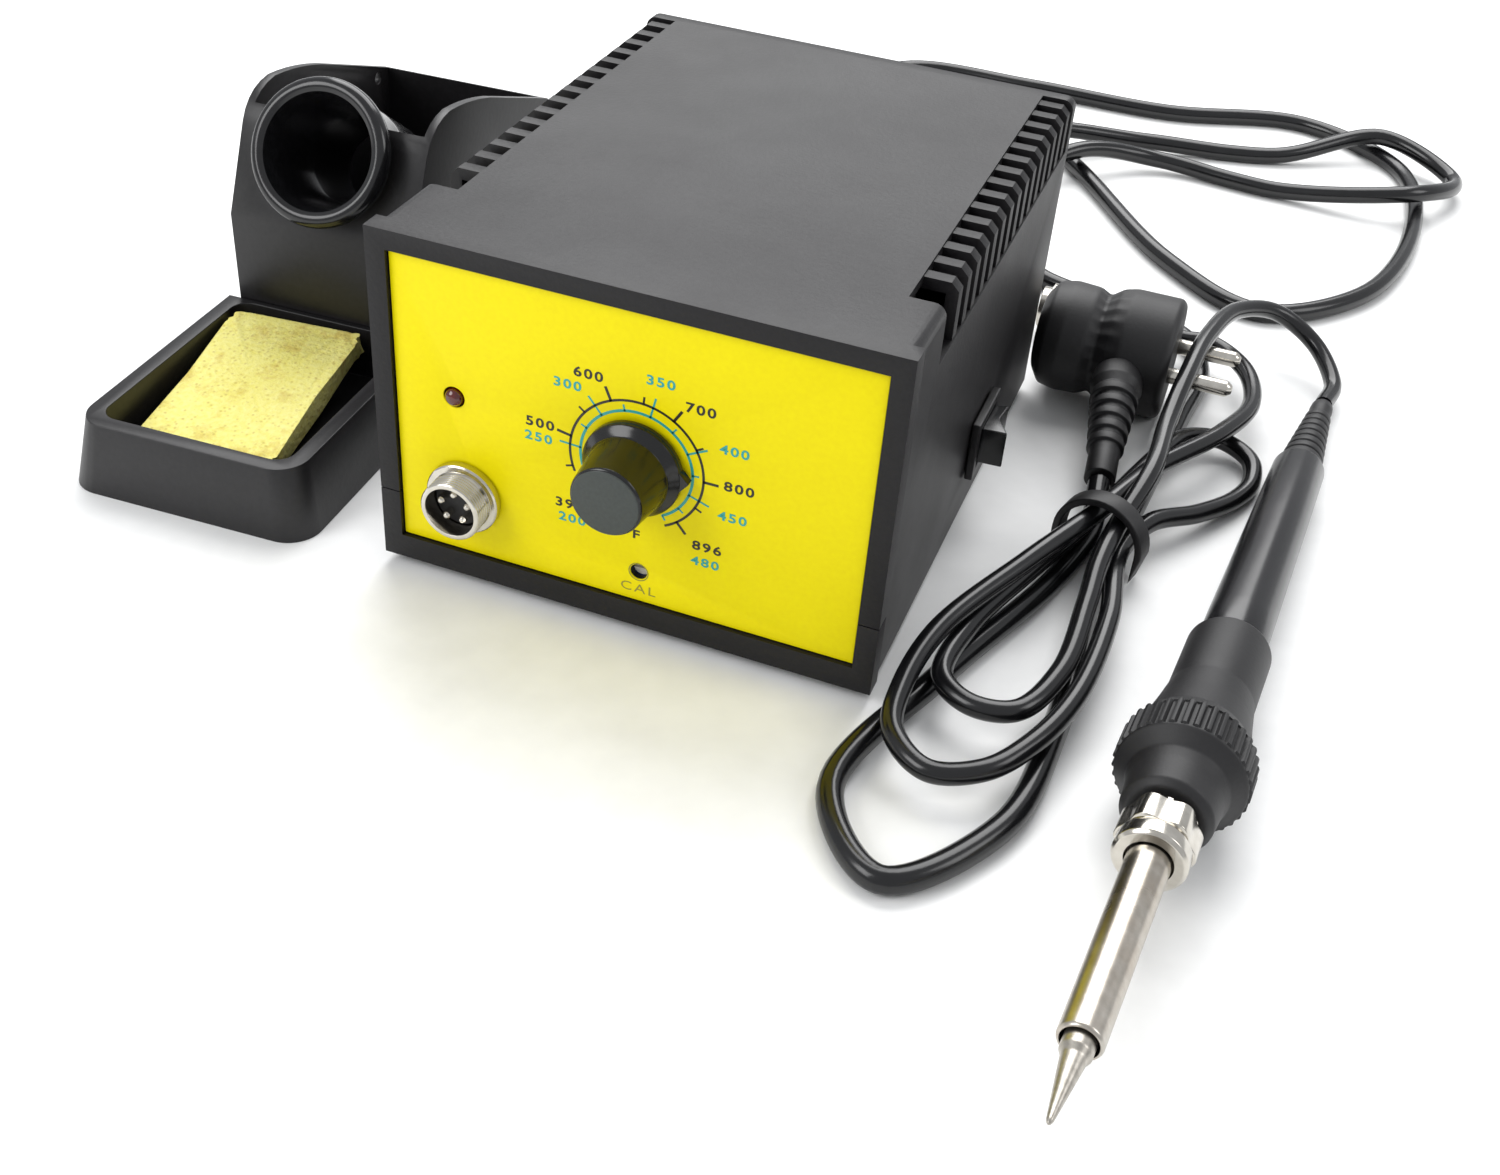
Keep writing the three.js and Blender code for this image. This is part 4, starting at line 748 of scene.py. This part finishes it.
# %% [markdown]
# ### The iron
# From front to back: plated tip, steel barrel, hexagon nut, knurled rubber guard, handle and ribbed relief.

# %% Iron's axis
IRON_AT = (139.3, -5.3, 15.9)
IRON_YAW, IRON_SLOPE = math.radians(4.14), math.asin((15.3 - 7.3) / 147)
IRON_DIR = (math.sin(IRON_YAW) * math.cos(IRON_SLOPE), math.cos(IRON_YAW) * math.cos(IRON_SLOPE),
            -math.sin(IRON_SLOPE))


def on_iron(name, profile, material, replaced, body="iron", sides=72, reach=0.3, wave=None):
    """A round piece about the iron's own axis, with places along it measured from the guard."""
    return turned(name, profile, IRON_AT, IRON_DIR, material, replaced, body, sides, reach, wave)


# %% Tip, barrel and nut
TIP = [(0, -108.5), (0.35, -108.4), (0.7, -107.6), (2.5, -92.7), (3.2, -91.2), (3.2, -40), (0, -40)]
BARREL = [(3.8, -86), (3.8, -88.7), (4.2, -88.7), (4.6, -88.1), (4.8, -32.8), (5.9, -32.6), (5.9, -30),
          (3.8, -30)]
NUT = [(5.3, -36), (7.3, -36), (8.1, -35.2), (8.1, -31.6), (6.9, -31.2), (8.2, -30.9), (8.2, -23.6),
       (7.4, -23), (6.2, -23)]
on_iron("tip", TIP, tip_iron, ["iron_tip"])
on_iron("barrel", BARREL, barrel_steel, ["tip_pipe"])
hexagon = lambda t, s: 0.55 * np.cos(6 * t) * ((s > -31.3) & (s < -23.2))
fine_knurl = lambda t, s: 0.16 * np.cos(40 * t) * ((s > -35) & (s < -31.8)) + hexagon(t, s)
on_iron("nut", NUT, nickel, ["iron_nut"], "tip_nut", 120, 0.2, fine_knurl)
on_iron("nose", [(2.8, -29.5), (5.9, -29.5), (5.9, -6), (2.8, -6)], barrel_steel, ["iron_nose"])

# %% Guard, handle and relief
knurl = lambda t, s: 0.55 * np.clip(1.6 * np.cos(36 * t), -1, 1) * ((s > -6.2) & (s < 2.7))
GUARD = [(6.2, -21.5), (8.8, -21.5), (10.2, -20), (10.8, -13), (11.4, -10), (13.8, -7.6), (14.7, -6.8),
         (14.7, -6.1), (14.7, -4), (14.7, -2), (14.7, 0), (14.7, 2.6), (14.2, 3.2), (12.6, 7), (11.2, 16),
         (10.2, 24), (10.2, 46), (9.2, 47), (7.6, 47)]
HANDLE = [(5.1, 47), (8.2, 47.3), (8.2, 60), (7.7, 110), (7.3, 146), (6.5, 147), (5.1, 147), (5.1, 145)]
on_iron("guard", GUARD, soft_rubber, ["iron_grip"], sides=216, reach=0.5, wave=knurl)
on_iron("handle", HANDLE, handle_nylon, ["iron_handle"], sides=96)
ribs = [q for k in range(8) for q in ((6.1 - 0.32 * k, 148 + 4.4 * k), (6.1 - 0.32 * k, 150.6 + 4.4 * k),
                                      (5.1 - 0.28 * k, 150.9 + 4.4 * k), (5.1 - 0.28 * k, 152.1 + 4.4 * k))]
on_iron("relief", [(0, 146), (4.8, 146), (6.1, 147.3)] + ribs + [(3.4, 187), (3.2, 190), (0, 190)],
        soft_rubber, ["iron_relief"], reach=0.25)
print("iron made")

# %% [markdown]
# ### Plug, gland and connector
# A round moulded plug with two pins lies on the bench. Its relief leaves the round side. The gland holds the
# lead at the rear panel, and a metal connector ends the iron's cord.

# %% Plug
PLUG_AT = (107, 167.5, 18.55)
finger = lambda t, s: -0.35 * (np.cos(24 * t) > 0.2) * ((s > -24) & (s < -17))
PLUG = [(0, -41), (11.5, -41), (15.9, -38), (16.9, -33), (16.5, -26), (14.9, -22.5), (17.5, -19),
        (18.5, -15), (18.5, -1.5), (17, 0), (0, 0)]
PIN = [(0, -2), (2.4, -2), (2.4, 17.4), (1.2, 19), (0, 19)]
PIN_OFFSET = 9.5
plug = turned("plug", PLUG, PLUG_AT, (1, 0, 0), soft_rubber, ["plug_body"], "station", 120,
              0.9, finger)
for n, side in enumerate((-1, 1)):
    spot = (PLUG_AT[0], PLUG_AT[1] + side * PIN_OFFSET, PLUG_AT[2])
    turned(f"pin_{n + 1}", PIN, spot, (1, 0, 0), nickel, [f"plug_pin_{n + 1}"], "station",
                       40, 0.5)
start, end = np.array((93.5, 150.6, 17.55)), np.array((98.2, 108, 8.9))
reach_mm = float(np.linalg.norm(end - start))
relief_ribs = [q for k in range(5) for q in ((7.0 - 0.42 * k, 9 + 5 * k), (7.0 - 0.42 * k, 11.6 + 5 * k),
                                             (5.9 - 0.36 * k, 12 + 5 * k), (5.9 - 0.36 * k, 13.6 + 5 * k))]
PLUG_RELIEF = [(0, -1), (7.2, -1), (7.6, 5), (6.6, 8)] + relief_ribs
PLUG_RELIEF += [(4.4, 35), (4.4, reach_mm), (0, reach_mm)]
plug_relief = turned("plug_relief_ribs", PLUG_RELIEF, start, end - start, soft_rubber, ["plug_relief"],
                     "station", 64, 0.3)

# %% Gland and connector
GLAND = [(0, -9), (7, -9), (7, -1.2), (9.4, -1.2), (9.4, 1.8), (6, 2.8)]
gland_ribs = [q for k in range(5) for q in ((6 - 0.3 * k, 4 + 4.4 * k), (6 - 0.3 * k, 6.6 + 4.4 * k),
                                            (5.1 - 0.22 * k, 6.9 + 4.4 * k), (5.1 - 0.22 * k, 8.1 + 4.4 * k))]
gland = turned("gland", GLAND + gland_ribs + [(4.4, 26), (4.4, 28), (0, 28)], (-30, 162, 24), (0, 1, 0),
               soft_rubber, ["mains_gland"], "station", 64, 0.3)
CONNECTOR_AT = (100, 201, 8.9)
CONNECTOR = [(0, 0), (3.6, 0), (4.6, 6), (6.6, 9), (7.2, 22), (6.6, 24), (6.6, 40), (5.6, 40), (5.6, 34),
             (0, 34)]
COUPLING = [(7.0, 24.6), (8.2, 24.6), (8.3, 30), (8.2, 37), (7.0, 37), (7.0, 24.6)]
connector = turned("connector", CONNECTOR, CONNECTOR_AT, (-1, 0, 0), nickel, ["connector_body"], "iron",
                   72, 0.4)
ring_knurl = lambda t, s: 0.25 * np.cos(30 * t) * ((s > 25) & (s < 36.5))
coupling_ring = turned("coupling_ring", COUPLING, CONNECTOR_AT, (-1, 0, 0), nickel, ["connector_ring"],
                       "coupling", 120, 0.2, ring_knurl)
print("plug, gland and connector made")

# %% [markdown]

# %% [markdown]
# ## Inside and underneath
# The pieces that stay as the solid model made them only need their finish.

# %% Finishes for the carried-over pieces
CARRIED = {
    zinc_steel: ["case_screw_1", "case_screw_2", "case_screw_3", "case_screw_4", "transformer_core",
                 "transformer_bracket", "heat_sink", "potentiometer", "knob_shaft", "socket_nut"],
    foot_rubber: ["foot_1", "foot_2", "foot_3", "foot_4"],
    copper_wire: ["transformer_coil"],
    board_green: ["circuit_board"],
    collar_phenolic: ["filter_capacitor", "triac"],
    fuse_ceramic: ["fuse", "heater"],
}
for material, names in CARRIED.items():
    for name in names:
        nodes[name].data.materials.clear()
        nodes[name].data.materials.append(material)
print("carried over", sum(len(names) for names in CARRIED.values()))

# %% [markdown]
# ## Bench and light
# A pale bench, a large soft light above and behind, and a weaker one from the front.

# %% Bench
def bench_piece(half=6.0):
    """One flat square at z = 0."""
    mesh = bpy.data.meshes.new("bench")
    mesh.from_pydata([(-half, -half, 0), (half, -half, 0), (half, half, 0), (-half, half, 0)], [],
                     [(0, 1, 2, 3)])
    piece = bpy.data.objects.new("bench", mesh)
    bpy.context.scene.collection.objects.link(piece)
    mesh.materials.append(finish_for("pale bench laminate", 9.0, 0.02, "#f0f0ef", "#f8f8f7", (0.5, 0.6)))
    return piece


bench = bench_piece()

# %% Lights
def soft_light(name, place, target, size, power):
    """A square area light that looks at a point."""
    lamp = bpy.data.lights.new(name, "AREA")
    lamp.size = size
    lamp.energy = power
    holder = bpy.data.objects.new(name, lamp)
    holder.location = place
    holder.rotation_mode = "QUATERNION"
    holder.rotation_quaternion = (Vector(place) - Vector(target)).to_track_quat("Z", "Y")
    bpy.context.scene.collection.objects.link(holder)


soft_light("overhead", (-0.2, 0.95, 1.15), (0, 0.05, 0.05), 1.3, 26)
soft_light("front", (-0.9, -0.9, 1.0), (0, 0, 0.05), 0.8, 10.5)
soft_light("right", (1.2, 0.2, 0.9), (0.05, 0, 0.03), 0.6, 4)
world = bpy.data.worlds.new("studio")
bpy.context.scene.world = world
world.use_nodes = True
world.node_tree.nodes["Background"].inputs[0].default_value = (0.95, 0.97, 1.0, 1)
world.node_tree.nodes["Background"].inputs[1].default_value = 0.66
bpy.context.scene.view_settings.view_transform = "Standard"
